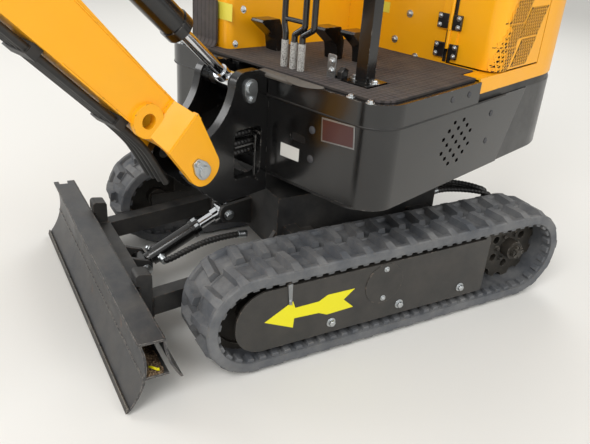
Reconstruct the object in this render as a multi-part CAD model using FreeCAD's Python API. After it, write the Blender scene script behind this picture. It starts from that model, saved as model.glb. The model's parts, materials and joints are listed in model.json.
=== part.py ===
"""One tonne tracked mini excavator with a fixed boom bracket, a four-post canopy and a dozer blade.

Millimetres, +Z up, the tracks stand on z = 0. The machine's front is -Y and its left side is +X.
Every group is modelled about the slew axis, with the upper structure turned straight ahead. At the end
the upper structure is turned to its parked slew angle and everything is moved so that the origin lies
on the ground under the middle of the whole machine.
"""
import FreeCAD, Part
import math
import os

V = FreeCAD.Vector
AXIS_X = V(1, 0, 0)
AXIS_Y = V(0, 1, 0)
AXIS_Z = V(0, 0, 1)

# Parked pose
SLEW_DEG = 17.5            # the upper structure is turned this far to its left
BOOM_DEG = 46.4            # lower boom above the horizontal
ARM_DEG = 12.0             # arm hangs this far inward of straight down
SLEW_AXIS = (-120.7, 635.0)  # slew axis seen from the middle of the machine's footprint

# Tracks
TRACK_OUT = 465.0          # outer face of a track from the machine's middle
TRACK_WIDE = 180.0
WHEELBASE = 920.0          # idler axle to sprocket axle
AXLE_Z = 150.0             # also the radius over the lug tips
LUG_TALL = 20.0
BELT_THICK = 18.0
LUG_PITCH = 72.0
LUG_LONG = 34.0            # along the track, at the root
LUG_TIP_LONG = 20.0
LUG_LEAN = 9.0             # sideways lean of a lug, the chevron
LUG_END = (24.0, 10.0)     # a lug's sloped outer end: its length, and its drop at the belt's edge
IDLER_WIDE = 50.0
ROLLER_R = 60.0
ROLLER_COUNT = 3
ROLLER_PITCH = (WHEELBASE - 468.0) / (ROLLER_COUNT - 1)
ROLLER_BACK = -17.0        # middle roller from the middle of the track
SPROCKET_TEETH = 11
SPROCKET_THICK = 28.0
RUN_GAP = 0.6              # wheels clear the track's inside by this much
PLATE = 6.0                # track frame sheet
FRAME_IN = 40.0            # inner frame sheet from the track's inner edge
FRAME_OUT = 4.0            # outer cover from the track's outer edge
FRAME_FRONT = 55.0 - WHEELBASE / 2
FRAME_REAR = WHEELBASE / 2 - 160.0
COVER_FRONT = -64.0 - WHEELBASE / 2  # nose of the outer cover, ahead of the idler's axle
FRAME_TOP = 246.0
FRAME_LOW = 66.0

# Car body between the tracks
BODY_HALF_X = 205.0
BODY_FRONT = -285.0
BODY_REAR = 285.0
BODY_LOW = 200.0
BODY_TOP = 358.0
BODY_SHEET = 8.0
CROSS_TUBE = 80.0          # square cross tubes to the track frames
CROSS_Y = (-215.0, 215.0)
CROSS_Z = 214.0
RING_R = 190.0             # slew ring, fixed race
RING_TALL = 30.0
RACE_R = 168.0             # slew ring, turning race
RACE_TOP = 428.0
FACE_GAP = 0.3             # between faces that slide on each other

# Tie-down plates on the car body's rear face, bored fore and aft
TIE_DOWN = (130.0, 168.0)    # x, z of the bore
TIE_DOWN_R = 15.0
TIE_DOWN_THICK = 14.0

# Dozer blade
BLADE_HALF = 479.0
BLADE_CLEAR = 8.0          # cutting edge above the ground
BLADE_PIVOT = (-300.0, 165.0)
BLADE_ARM_X = 226.0
BLADE_ARM_WIDE = 44.0
BLADE_ARM_TALL = 56.0
BLADE_SHEET = 6.0
BLADE_EYE = (-620.0, 115.0)   # cylinder pin on the blade
BLADE_ROD_PIN = (-362.0, 247.0)  # cylinder pin on the car body
PIN_R = 12.5               # common pin, 25 mm
BIG_PIN_R = 15.0           # boom foot pin and rod pin
PIN_GAP = 0.05             # running clearance on a pin, on the radius
EYE_R = 25.0
BASE_GAP = 30.0            # barrel's base from the pin
OIL_PIPE_START = 98.0      # oil pipe's lower port from the pin

# Platform and skirts
DECK_LEFT = 452.0          # left edge from the boom's plane
DECK_RIGHT = 362.0         # right edge from the boom's plane
MIDDLE_X = (DECK_LEFT - DECK_RIGHT) / 2
DECK_HALF = (DECK_LEFT + DECK_RIGHT) / 2
DECK_FRONT = -369.0
DECK_REAR = 48.0
DECK_TOP = 711.0
DECK_RIM = 58.0
DECK_SHEET = 6.0
DECK_CORNER = 78.0
SKIRT_STEP = 6.0           # skirts stand this far inside the deck's edge
SKIRT_HALF = DECK_HALF - SKIRT_STEP
SKIRT_FRONT = DECK_FRONT + SKIRT_STEP
SKIRT_LOW = 444.0
SKIRT_SHEET = 5.0
SKIRT_TOP = 652.7
SKIRT_FLANGE = 24.0        # inward flange along the skirt's top and the deck's rim
SEAM_TOP_Y = 340.0         # skirt meets counterweight, at the top
SEAM_LOW_Y = 236.0
TAIL_Y = 690.0
TAIL_CORNER = 250.0
BED_LOW = 428.0
BED_THICK = 16.0
WEB_X = 80.0               # outer face of a boom bracket plate
WEB_THICK = 25.0

ENGINE_LOW = 600.0

# Hood and seat
WALL_Y = 120.0             # front wall of the seat box
WALL_TOP = 1030.0
HOOD_TOP = 1090.0
HOOD_SHEET = 5.0
HOOD_LOW = 676.0
HOOD_SILL = 718.0          # sill under the door
HOOD_CORNER = 45.0
DOOR_EDGE_X = DECK_LEFT - 156.0  # seam with the hinge strip
DOOR_REAR_Y = 372.0
GAP = 5.0
DOOR_HINGE = (DOOR_EDGE_X - 3.0, WALL_Y - 8.0)  # x, y of the door's upright hinge line
HINGE_R = 5.0
DOOR_HINGE_Z = (760.0, 900.0)
HINGE_LONG = 50.0
HINGE_PIN_R = 2.5
# Grille patches in the door's side: y, z of the middle, half length, half height, rows of slots
GRILLES = ((166.0, 756.0, 34.0, 25.0, 4), (184.0, 817.0, 36.0, 27.0, 4), (210.0, 886.0, 42.0, 35.0, 5),
           (268.0, 770.0, 40.0, 30.0, 4), (296.0, 848.0, 46.0, 33.0, 4))
GRILLE_LEAN = 0.5          # a patch's top lies this far back for its height
GRILLE_SLOT = 7.0
SEAT_X = 95.0              # the seat's middle, behind the levers

# Side console to the right of the footwell
CONSOLE_PLAN = ((-292.0, -306.0, 40.0), (-148.0, -306.0, 22.0), (-70.0, 119.7, 0.0), (-292.0, 119.7, 0.0))
CONSOLE_TOP = (1000.0, 1046.0)   # at the front and at the rear
CONSOLE_SHEET = 4.0
LEFT_CONSOLE_TALL = 150.0

# Controls on the floor
LEVERS = ((72.0, 66.0), (104.0, 137.0), (131.0, 167.0))  # x of a lever's sleeve and of its upper run
LEVER_Y = -305.0
LEVER_R = 8.0
LEVER_TOP = (-205.0, 1150.0)
SLEEVE_R = 9.5
SLEEVE_TALL = 66.0
PEDALS = ((-101.0, -204.0), (55.0, -127.0), (133.0, -101.0))  # front right corner of a pedal's foot
PEDAL_WIDE = 45.0

# Boom, in its own frame: u along the lower boom, w square to it, from the foot pin
FOOT_PIN = (-595.0, 505.0)
ROD_PIN = (-430.0, 682.0)  # boom cylinder pin on the bracket
BOOM_LOW_W = -20.0
BOOM_HIGH_W = 80.0
BOOM_BEND_U = 850.0
BOOM_BEND_DEG = 38.0
BOOM_TIP = 780.0           # bend to arm pivot
FORK_OPEN = 165.0          # the box ends this far short of the arm pivot
BOOM_HALF_X = 62.0
BOOM_SHEET = 8.0
CHEEK_IN = 82.0
CHEEK_THICK = 18.0
BOOM_CYL_U = 750.0         # barrel pin on the boom
BOOM_CYL_W = 192.0

# Arm, in its own frame: u from the arm pivot to the bucket pin, w to the outer side
ARM_LONG = 900.0
ARM_HALF_X = 44.0
ARM_TAIL = (-148.0, 83.0)  # arm cylinder rod pin: u, w
TAIL_R = 28.0
ARM_CYL = (60.0, 150.0)    # arm cylinder barrel pin on the upper boom: along, above
BUCKET_CYL = (90.0, 150.0)  # bucket cylinder barrel pin on the arm: u, w
LINK_BACK = 150.0          # rocker pivot behind the bucket pin
LINK_REACH = 150.0         # rocker pivot to rod pin, and bucket pin to link pin
LINK_DEG = 95.0            # rocker from the arm's axis at rest

# Bucket
BUCKET_HALF = 190.0
BUCKET_LIP = 285.0        # lip ahead of the bucket pin, at rest
BUCKET_DEEP = 361.0       # bucket pin to the floor
BUCKET_SHEET = 8.0
EAR_IN = 47.0
EAR_THICK = 15.0
TEETH = 4

# Cylinders: barrel radius, rod radius, gland length
BIG_CYL = (35.0, 15.0)
SMALL_CYL = (25.0, 15.0)

# Canopy
POST = 34.0
POST_FRONT_Y = -242.0
POST_LEFT_X = 290.0
POST_RIGHT_X = -338.0
POST_REAR_Y = 520.0
POST_REAR_X = 335.0        # rear posts from the platform's middle
ROOF_Z = 2210.0


def unit(p):
    """The 2D vector p at length one."""
    size = math.hypot(p[0], p[1])
    return (p[0] / size, p[1] / size)


def rounded_wire(corners, lift):
    """A closed wire round the (u, v, radius) corners; lift turns (u, v) into a 3D point."""
    cuts = []
    for i, (u, v, r) in enumerate(corners):
        before, after = corners[i - 1], corners[(i + 1) % len(corners)]
        if r <= 0:
            cuts.append(((u, v), None, (u, v)))
            continue
        a = unit((before[0] - u, before[1] - v))
        b = unit((after[0] - u, after[1] - v))
        half = math.acos(max(-1.0, min(1.0, a[0] * b[0] + a[1] * b[1]))) / 2
        back = r / math.tan(half)
        m = unit((a[0] + b[0], a[1] + b[1]))
        out = r / math.sin(half) - r
        cuts.append(((u + a[0] * back, v + a[1] * back), (u + m[0] * out, v + m[1] * out),
                     (u + b[0] * back, v + b[1] * back)))
    edges = []
    for i, (start, middle, end) in enumerate(cuts):
        if middle:
            edges.append(Part.Arc(lift(start), lift(middle), lift(end)).toShape())
        following = cuts[(i + 1) % len(cuts)][0]
        if math.hypot(following[0] - end[0], following[1] - end[1]) > 1e-4:
            edges.append(Part.LineSegment(lift(end), lift(following)).toShape())
    return Part.Wire(edges)


def side_plate(corners, x0, x1):
    """A plate from x0 to x1 whose outline is drawn in Y and Z."""
    face = Part.Face(rounded_wire(corners, lambda p: V(x0, p[0], p[1])))
    return face.extrude(V(x1 - x0, 0, 0))


def flat_plate(corners, z0, z1):
    """A plate from z0 to z1 whose outline is drawn in X and Y."""
    face = Part.Face(rounded_wire(corners, lambda p: V(p[0], p[1], z0)))
    return face.extrude(V(0, 0, z1 - z0))


def front_plate(corners, y0, y1):
    """A plate from y0 to y1 whose outline is drawn in X and Z."""
    face = Part.Face(rounded_wire(corners, lambda p: V(p[0], y0, p[1])))
    return face.extrude(V(0, y1 - y0, 0))


def box(x0, x1, y0, y1, z0, z1):
    """A block between two corners."""
    return Part.makeBox(x1 - x0, y1 - y0, z1 - z0, V(x0, y0, z0))


def rod(start, end, radius):
    """A round bar between two points."""
    line = V(*end) - V(*start)
    return Part.makeCylinder(radius, line.Length, V(*start), line)


def cross_rod(place, x0, x1, radius):
    """A round bar along X at place, a (y, z) pair."""
    return rod((x0, place[0], place[1]), (x1, place[0], place[1]), radius)


def hose(points, radius, bend):
    """A round hose or bent tube through 3D points, its corners rounded to a bend radius."""
    places = [V(*p) for p in points]
    solids = []
    start = places[0]
    for before, corner, after in zip(places, places[1:], places[2:]):
        a, b = (before - corner).normalize(), (after - corner).normalize()
        half = a.getAngle(b) / 2
        back = bend / math.tan(half)
        middle = corner + (a + b).normalize() * (bend / math.sin(half))
        enter = corner + a * back
        solids.append(rod(start, enter, radius))
        ring = Part.Face(Part.Wire(Part.makeCircle(radius, enter, a)))
        solids.append(ring.revolve(middle, b.cross(a), 180 - 2 * math.degrees(half)))
        start = corner + b * back
    return fuse(solids + [rod(start, places[-1], radius)])


def fuse(shapes):
    """One solid of shapes that touch."""
    first, rest = shapes[0], shapes[1:]
    return first.multiFuse(rest).removeSplitter() if rest else first


def mirror(shape):
    """The same shape on the machine's other side."""
    return shape.mirror(V(0, 0, 0), AXIS_X)


def both(shape):
    """The shape and its mirror image, as two solids."""
    return [shape, mirror(shape)]


def turned(corners, middle, deg):
    """2D corners (u, v, radius) turned about a middle."""
    c, s = math.cos(math.radians(deg)), math.sin(math.radians(deg))
    return [(middle[0] + c * u - s * v, middle[1] + s * u + c * v, r) for u, v, r in corners]


# Places in the working plane, as (y, z) pairs


def boom_point(u, w):
    """A point of the boom's own frame."""
    a = math.radians(BOOM_DEG)
    return (FOOT_PIN[0] - u * math.cos(a) + w * math.sin(a), FOOT_PIN[1] + u * math.sin(a) + w * math.cos(a))


def upper_boom_point(along, above):
    """A point of the upper boom: along it from the bend, and above its middle line."""
    a = math.radians(BOOM_BEND_DEG)
    middle = (BOOM_LOW_W + BOOM_HIGH_W) / 2
    return boom_point(BOOM_BEND_U + along * math.cos(a) + above * math.sin(a),
                      middle - along * math.sin(a) + above * math.cos(a))


ARM_PIVOT = upper_boom_point(BOOM_TIP, 0.0)


def arm_point(u, w):
    """A point of the arm's own frame."""
    a = math.radians(ARM_DEG)
    return (ARM_PIVOT[0] + u * math.sin(a) - w * math.cos(a), ARM_PIVOT[1] - u * math.cos(a) - w * math.sin(a))


def link_end(start_u):
    """A point LINK_REACH from the arm's axis, at the link angle."""
    a = math.radians(LINK_DEG)
    return arm_point(start_u - LINK_REACH * math.cos(a), LINK_REACH * math.sin(a))


BOOM_CYL_PIN = boom_point(BOOM_CYL_U, BOOM_CYL_W)
ARM_CYL_PIN = upper_boom_point(*ARM_CYL)
ARM_ROD_PIN = arm_point(*ARM_TAIL)
BUCKET_CYL_PIN = arm_point(*BUCKET_CYL)
BUCKET_PIN = arm_point(ARM_LONG, 0.0)
ROCKER_PIN = arm_point(ARM_LONG - LINK_BACK, 0.0)
LINK_TOP = link_end(ARM_LONG - LINK_BACK)
LINK_PIN = link_end(ARM_LONG)


# Undercarriage


def loop_outline(radius):
    """The stadium round both axles at a radius, as (y, z, corner radius) corners."""
    ends = WHEELBASE / 2 + radius
    return [(-ends, AXLE_Z - radius, radius), (ends, AXLE_Z - radius, radius),
            (ends, AXLE_Z + radius, radius), (-ends, AXLE_Z + radius, radius)]


def loop_band(radius, x0, x1):
    """A solid stadium between x0 and x1."""
    outer = loop_outline(radius)
    flat = [(y, z, r - 0.001) for y, z, r in outer]
    return side_plate(flat, x0, x1)


def loop_place(distance, radius):
    """Point and outward angle at a distance along the loop's own line, starting over the sprocket."""
    straight = WHEELBASE
    arc = math.pi * radius
    d = distance % (2 * straight + 2 * arc)
    half = WHEELBASE / 2
    if d < straight:
        return (half - d, AXLE_Z + radius, 90.0)
    d -= straight
    if d < arc:
        angle = 90.0 + math.degrees(d / radius)
        return (-half + radius * math.cos(math.radians(angle)), AXLE_Z + radius * math.sin(math.radians(angle)), angle)
    d -= arc
    if d < straight:
        return (-half + d, AXLE_Z - radius, 270.0)
    d -= straight
    angle = 270.0 + math.degrees(d / radius)
    return (half + radius * math.cos(math.radians(angle)), AXLE_Z + radius * math.sin(math.radians(angle)), angle)


def lug(place, x0, x1, lean):
    """One lug: a bar with sloped flanks, its outer end ahead of its inner end by lean."""
    y, z, angle = place
    root_out = -3.0
    sections = []
    for x, shift in ((x0, 0.0), (x1, lean)):
        corners = [(root_out, -LUG_LONG / 2 + shift, 0), (LUG_TALL, -LUG_TIP_LONG / 2 + shift, 0),
                   (LUG_TALL, LUG_TIP_LONG / 2 + shift, 0), (root_out, LUG_LONG / 2 + shift, 0)]
        corners = turned(corners, (y, z), angle)
        sections.append(rounded_wire(corners, lambda p, x=x: V(x, p[0], p[1])))
    return Part.makeLoft(sections, True, True)


def track():
    """Left rubber track: a belt with two staggered rows of leaning lugs."""
    x0, x1 = TRACK_OUT - TRACK_WIDE, TRACK_OUT
    middle = (x0 + x1) / 2
    root = AXLE_Z - LUG_TALL
    belt = loop_band(root, x0, x1).cut(loop_band(root - BELT_THICK, x0 - 1, x1 + 1))
    length = 2 * WHEELBASE + 2 * math.pi * root
    count = round(length / LUG_PITCH)
    pitch = length / count
    lugs = []
    for i in range(count):
        lugs.append(lug(loop_place(i * pitch, root), middle - 4, x0, -LUG_LEAN))
        lugs.append(lug(loop_place((i + 0.5) * pitch, root), middle + 4, x1, -LUG_LEAN))
    long, drop = LUG_END
    hull = loop_band(AXLE_Z, x0, x1)
    for x in (x0, x1):
        side = [face for face in hull.Faces if abs(face.CenterOfMass.x - x) < 1][0]
        hull = hull.makeChamfer(long, drop, side.Edges)
    return fuse([belt] + lugs).common(hull)


def inner_radius():
    """Inside radius of the track's loop."""
    return AXLE_Z - LUG_TALL - BELT_THICK


def track_middle():
    """X of the left track's middle."""
    return TRACK_OUT - TRACK_WIDE / 2


def idler():
    """Left front idler wheel with its hub."""
    x = track_middle()
    y = -WHEELBASE / 2
    r = inner_radius() - RUN_GAP
    wheel = cross_rod((y, AXLE_Z), x - IDLER_WIDE / 2, x + IDLER_WIDE / 2, r)
    dish = cross_rod((y, AXLE_Z), x + 10, x + IDLER_WIDE, r - 18)
    dish_in = cross_rod((y, AXLE_Z), x - IDLER_WIDE, x - 10, r - 18)
    hub = cross_rod((y, AXLE_Z), x - 38, x + 38, 32)
    return fuse([wheel.cut(dish).cut(dish_in), hub])


def sprocket():
    """Left drive sprocket with rounded teeth."""
    x = track_middle()
    y = WHEELBASE / 2
    r = inner_radius() - RUN_GAP
    step = 360.0 / SPROCKET_TEETH
    disc = cross_rod((y, AXLE_Z), x - SPROCKET_THICK / 2, x + SPROCKET_THICK / 2, r)
    gaps = []
    for i in range(SPROCKET_TEETH):
        a = math.radians(i * step)
        gaps.append(cross_rod((y + (r + 4) * math.cos(a), AXLE_Z + (r + 4) * math.sin(a)), x - 30, x + 30, 19))
    for i in range(6):
        a = math.radians(60 * i + 30)
        gaps.append(cross_rod((y + 62 * math.cos(a), AXLE_Z + 62 * math.sin(a)), x - 30, x + 30, 13))
    hub = cross_rod((y, AXLE_Z), x - SPROCKET_THICK / 2, x + 48, 30)
    return fuse([disc.cut(Part.makeCompound(gaps)), hub])


def castle_nut():
    """Slotted nut and shaft end on the sprocket's outer side."""
    x = track_middle() + 48
    y = WHEELBASE / 2
    nut = cross_rod((y, AXLE_Z), x, x + 16, 21)
    slots = [box(x + 8, x + 17, y - 3, y + 3, AXLE_Z - 22, AXLE_Z + 22)]
    slots = [slots[0].copy() for _ in range(3)]
    for i, slot in enumerate(slots):
        slot.rotate(V(x, y, AXLE_Z), AXIS_X, 60 * i)
    shaft = cross_rod((y, AXLE_Z), x, x + 20, 11)
    return fuse([nut.cut(Part.makeCompound(slots)), shaft])


def rollers():
    """Left bottom rollers, each with two treads, a waist and its shaft ends."""
    x = track_middle()
    z = AXLE_Z - inner_radius() + RUN_GAP + ROLLER_R
    wheels = []
    for i in range(ROLLER_COUNT):
        y = ROLLER_BACK + (i - (ROLLER_COUNT - 1) / 2) * ROLLER_PITCH
        body = cross_rod((y, z), x - 32, x + 32, ROLLER_R - 14)
        treads = [cross_rod((y, z), x + a, x + b, ROLLER_R) for a, b in ((-46, -20), (20, 46))]
        shaft = cross_rod((y, z), TRACK_OUT - TRACK_WIDE + FRAME_IN + PLATE, TRACK_OUT - FRAME_OUT - PLATE, 14)
        wheels.append(fuse([body, shaft] + treads))
    return Part.makeCompound(wheels)


def track_frame():
    """Left track frame: a box open below, its outer sheet the long cover with a rounded nose."""
    x_in = TRACK_OUT - TRACK_WIDE + FRAME_IN
    x_out = TRACK_OUT - FRAME_OUT
    rear = [(FRAME_REAR, FRAME_LOW, 4), (FRAME_REAR, FRAME_TOP, 4)]
    outer = side_plate([(COVER_FRONT, FRAME_LOW, 80)] + rear + [(COVER_FRONT, FRAME_TOP, 90)], x_out - PLATE, x_out)
    inner = side_plate([(FRAME_FRONT, FRAME_LOW, 60)] + rear + [(FRAME_FRONT, FRAME_TOP, 16)], x_in, x_in + PLATE)
    top = box(x_in, x_out, FRAME_FRONT + 20, FRAME_REAR, FRAME_TOP - PLATE, FRAME_TOP)
    back = box(x_in, x_out, FRAME_REAR - PLATE, FRAME_REAR, FRAME_LOW + 20, FRAME_TOP)
    lid = cross_rod((-80, 182), x_out - 1, x_out + 2, 62)
    yoke_far = -WHEELBASE / 2 - 26
    x = track_middle()
    yokes = [box(x + a, x + b, yoke_far, FRAME_FRONT + 120, AXLE_Z - 22, AXLE_Z + 22)
             for a, b in ((-52, -40), (40, 52))]
    slide = box(x - 52, x + 52, FRAME_FRONT + 100, FRAME_FRONT + 122, AXLE_Z - 40, AXLE_Z + 40)
    hanger = side_plate([(FRAME_REAR - 10, AXLE_Z - 70, 0), (WHEELBASE / 2, AXLE_Z - 70, 60),
                         (WHEELBASE / 2 + 70, AXLE_Z, 60), (WHEELBASE / 2, AXLE_Z + 70, 60),
                         (FRAME_REAR - 10, AXLE_Z + 90, 0)], x_in - PLATE, x_in + PLATE)
    bars = [cross_rod((y, FRAME_TOP + 1), x_in, x_out, 9) for y in (FRAME_FRONT + 28, FRAME_REAR - 12)]
    frame = fuse([outer, inner, top, back, lid, slide, hanger] + yokes + bars)
    return frame.cut(drive_motor()).cut(rollers())


def drive_motor():
    """Left travel motor inboard of the sprocket."""
    y = WHEELBASE / 2
    x1 = TRACK_OUT - TRACK_WIDE + FRAME_IN - PLATE
    case = cross_rod((y, AXLE_Z), x1 - 95, x1, 52)
    neck = cross_rod((y, AXLE_Z), x1, track_middle() - SPROCKET_THICK / 2, 40)
    port = box(x1 - 88, x1 - 30, y - 22, y + 22, AXLE_Z + 40, AXLE_Z + 72)
    return fuse([case, neck, port])


def car_body():
    """Centre frame box with the fixed slew race, blade ears with their pins, and cylinder cheeks."""
    shell = box(-BODY_HALF_X, BODY_HALF_X, BODY_FRONT, BODY_REAR, BODY_LOW, BODY_TOP)
    inside = box(-BODY_HALF_X + BODY_SHEET, BODY_HALF_X - BODY_SHEET, BODY_FRONT + BODY_SHEET,
                 BODY_REAR - BODY_SHEET, BODY_LOW - 1, BODY_TOP - BODY_SHEET)
    tubes = []
    x_frame = TRACK_OUT - TRACK_WIDE + FRAME_IN
    half = CROSS_TUBE / 2
    for y in CROSS_Y:
        tubes.append(box(-x_frame, x_frame, y - half, y + half, CROSS_Z - half, CROSS_Z + half))
    race = rod((0, 0, BODY_TOP), (0, 0, BODY_TOP + RING_TALL), RING_R)
    y, z = BLADE_PIVOT
    ears = []
    for x in (BLADE_ARM_X - BLADE_ARM_WIDE / 2 - 18, BLADE_ARM_X + BLADE_ARM_WIDE / 2 + 4):
        ear = side_plate([(y - 26, z - 26, 24), (BODY_FRONT + 60, z - 26, 0), (BODY_FRONT + 60, BODY_LOW + 70, 0),
                          (BODY_FRONT - 2, BODY_LOW + 50, 0), (y - 26, z + 26, 24)], x, x + 14)
        ears += both(ear)
    pin_half = BLADE_ARM_WIDE / 2 + 22
    ears += both(cross_rod(BLADE_PIVOT, BLADE_ARM_X - pin_half, BLADE_ARM_X + pin_half, PIN_R))
    y, z = BLADE_ROD_PIN
    cheek = side_plate([(BODY_FRONT + 4, z - 45, 0), (BODY_FRONT + 4, z + 40, 0), (y - 24, z + 24, 22),
                        (y - 24, z - 24, 22)], 22, 36)
    ears += both(cheek) + both(cross_rod(BLADE_ROD_PIN, 22, 44, PIN_R))
    beam = box(-BLADE_ARM_X - 40, BLADE_ARM_X + 40, BODY_FRONT + 20, BODY_FRONT + 60, BODY_LOW - 40, BODY_LOW + 70)
    x, z = TIE_DOWN
    plate = front_plate([(x - 30, z - 30, 28), (x + 30, z - 30, 28), (x + 30, z + 70, 0), (x - 30, z + 70, 0)],
                        BODY_REAR, BODY_REAR + TIE_DOWN_THICK)
    ears += both(plate.cut(rod((x, BODY_REAR - 1, z), (x, BODY_REAR + TIE_DOWN_THICK + 1, z), TIE_DOWN_R)))
    return fuse([shell.cut(inside), race, beam] + tubes + ears)


def travel_hoses():
    """Left travel motor's hoses from the car body's rear wall over to the motor's port block."""
    y = WHEELBASE / 2
    x = TRACK_OUT - TRACK_WIDE + FRAME_IN - PLATE
    port_top = AXLE_Z + 72
    runs = ((120.0, 266.0, 292.0, x - 74, y + 10), (152.0, 296.0, 300.0, x - 60, y - 10), (184.0, 280.0, 286.0, x - 44, y + 8))
    solids = []
    for start_x, start_z, high, end_x, end_y in runs:
        reach = BODY_REAR + 62
        solids.append(hose([(start_x, BODY_REAR, start_z), (start_x, reach, start_z), (end_x, end_y, high),
                            (end_x, end_y, port_top)], 7.5, 34))
    return solids


def blade_hose():
    """Hose of the blade's cylinder: from a fitting on the barrel's side back to the blade pivot."""
    direction, _ = cylinder_line(BLADE_EYE, BLADE_ROD_PIN)
    fitting_r, barrel_r, x = 9.0, SMALL_CYL[0], 62.0
    port_y, port_z = along(BLADE_EYE, direction, BASE_GAP + 16 + fitting_r + 1)
    fitting = rod((barrel_r + PIN_GAP, port_y, port_z), (x + 10, port_y, port_z), fitting_r)
    run = hose([(x, port_y, port_z), (x, port_y + 132, port_z + 46), (x, port_y + 222, port_z + 49),
                (x, BODY_FRONT - 29, port_z + 43)], 8.5, 110)
    return fuse([fitting, run])


def blade_board():
    """Curved dozer board with a rolled front, a flat top strip and a curved rear plate."""
    top = (-772.0, 198.0)
    edge = (-808.0, BLADE_CLEAR)
    belly = (-762.0, 96.0)
    t = BLADE_SHEET
    back_top = (-712.0, 196.0)
    tip = (-671.0, 74.0)

    def lift(p):
        return V(-BLADE_HALF, p[0], p[1])

    def strip(a, m, b, offset):
        a2, m2, b2 = [(p[0] + offset[0], p[1] + offset[1]) for p in (a, m, b)]
        edges = [Part.Arc(lift(a), lift(m), lift(b)).toShape(), Part.LineSegment(lift(b), lift(b2)).toShape(),
                 Part.Arc(lift(b2), lift(m2), lift(a2)).toShape(), Part.LineSegment(lift(a2), lift(a)).toShape()]
        return Part.Face(Part.Wire(edges)).extrude(V(2 * BLADE_HALF, 0, 0))

    front = strip(top, belly, edge, (t, 0))
    rear = strip(back_top, (-700.0, 130.0), tip, (t, 0))
    cap = side_plate([(top[0], top[1] - t, 0), (back_top[0] + t, back_top[1] - t, 0),
                      (back_top[0] + t, back_top[1], 0), (top[0], top[1], 0)], -BLADE_HALF, BLADE_HALF)
    notch = box(-BLADE_HALF - 1, -BLADE_HALF + 22, -757, -729, 150, 220)
    floor = box(-BLADE_HALF, BLADE_HALF, -789, -682, 92, 92 + t)
    floor = floor.common(side_plate([(-764, 60, 0), (-700, 60, 0), (-700, 130, 0), (-764, 130, 0)],
                                    -BLADE_HALF, BLADE_HALF))
    return fuse([front, rear, cap.cut(notch), floor])


def blade_frame():
    """Blade push arms with their uprights, cross tube and cylinder lugs."""
    y, z = BLADE_PIVOT
    half = BLADE_ARM_TALL / 2
    x0 = BLADE_ARM_X - BLADE_ARM_WIDE / 2
    x1 = x0 + BLADE_ARM_WIDE
    arm = side_plate([(-694, 96, 0), (-694, 96 + 2 * half, 0), (y + half, z + half, half - 1),
                      (y + half, z - half, half - 1)], x0, x1)
    arm = arm.cut(cross_rod((y, z), x0 - 1, x1 + 1, PIN_R + PIN_GAP))
    upright = side_plate([(-698, 88, 0), (-664, 88, 0), (-664, 226, 8), (-706, 232, 10), (-706, 198, 0),
                          (-698, 196, 0)], x0, x1)
    ladder = both(fuse([arm, upright]))
    tube = box(-x0 - 1, x0 + 1, -694, -658, 124, 160)
    ye, ze = BLADE_EYE
    lugs = []
    cheek = side_plate([(-660, 160, 0), (-660, 92, 0), (ye + 20, ze - 22, 20), (ye + 20, ze + 22, 20)], 31, 43)
    lugs += both(cheek) + [cross_rod((ye, ze), -48, 48, PIN_R)]
    return fuse(ladder + [tube] + lugs).cut(blade_board())


def cylinder_line(start, end):
    """Unit vector from start to end, (y, z) pairs, and the distance."""
    dy, dz = end[0] - start[0], end[1] - start[1]
    size = math.hypot(dy, dz)
    return (dy / size, dz / size), size


def along(start, direction, distance):
    """A (y, z) place a distance from start."""
    return (start[0] + direction[0] * distance, start[1] + direction[1] * distance)


def barrel(pin, eye, size, barrel_long, eye_half):
    """Cylinder barrel: base eye on its pin, tube, base cap, gland, its bore and the oil pipe beside it."""
    direction, _ = cylinder_line(pin, eye)
    radius, rod_r = size

    def at(distance):
        p = along(pin, direction, distance)
        return (0.0, p[0], p[1])

    tube = rod(at(BASE_GAP + 6), at(barrel_long), radius)
    gland = rod(at(barrel_long - 26), at(barrel_long), radius + 3)
    base = rod(at(BASE_GAP), at(BASE_GAP + 16), radius + 2)
    neck = rod(at(0), at(BASE_GAP + 2), EYE_R - 5)
    boss = cross_rod(pin, -eye_half, eye_half, EYE_R)
    solids = [tube, gland, base, neck, boss]
    side = V(-radius - 8, 0, 0)
    for distance in (OIL_PIPE_START, barrel_long - 14):
        solids.append(rod(at(distance), V(*at(distance)) + side * 1.08, 6.5))
    solids.append(rod(V(*at(OIL_PIPE_START - 6)) + side, V(*at(barrel_long - 8)) + side, 4.5))
    solid = fuse(solids)
    solid = solid.cut(rod(at(60), at(barrel_long + 1), rod_r + 0.5))
    return solid.cut(cross_rod(pin, -eye_half - 1, eye_half + 1, PIN_R + PIN_GAP))


def piston_rod(pin, eye, size, barrel_long, eye_half, inside):
    """Piston rod: plated bar from inside its barrel to the rod's eye, with a bored boss."""
    direction, span = cylinder_line(pin, eye)

    def at(distance):
        p = along(pin, direction, distance)
        return (0.0, p[0], p[1])

    bar = rod(at(barrel_long - inside), at(span - EYE_R + 4), size[1])
    boss = cross_rod(eye, -eye_half, eye_half, EYE_R)
    neck = rod(at(span - EYE_R - 16), at(span - EYE_R + 5), size[1] + 5)
    return fuse([bar, neck, boss]).cut(cross_rod(eye, -eye_half - 1, eye_half + 1, PIN_R + 2.0))


# Upper structure, modelled straight ahead


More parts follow.
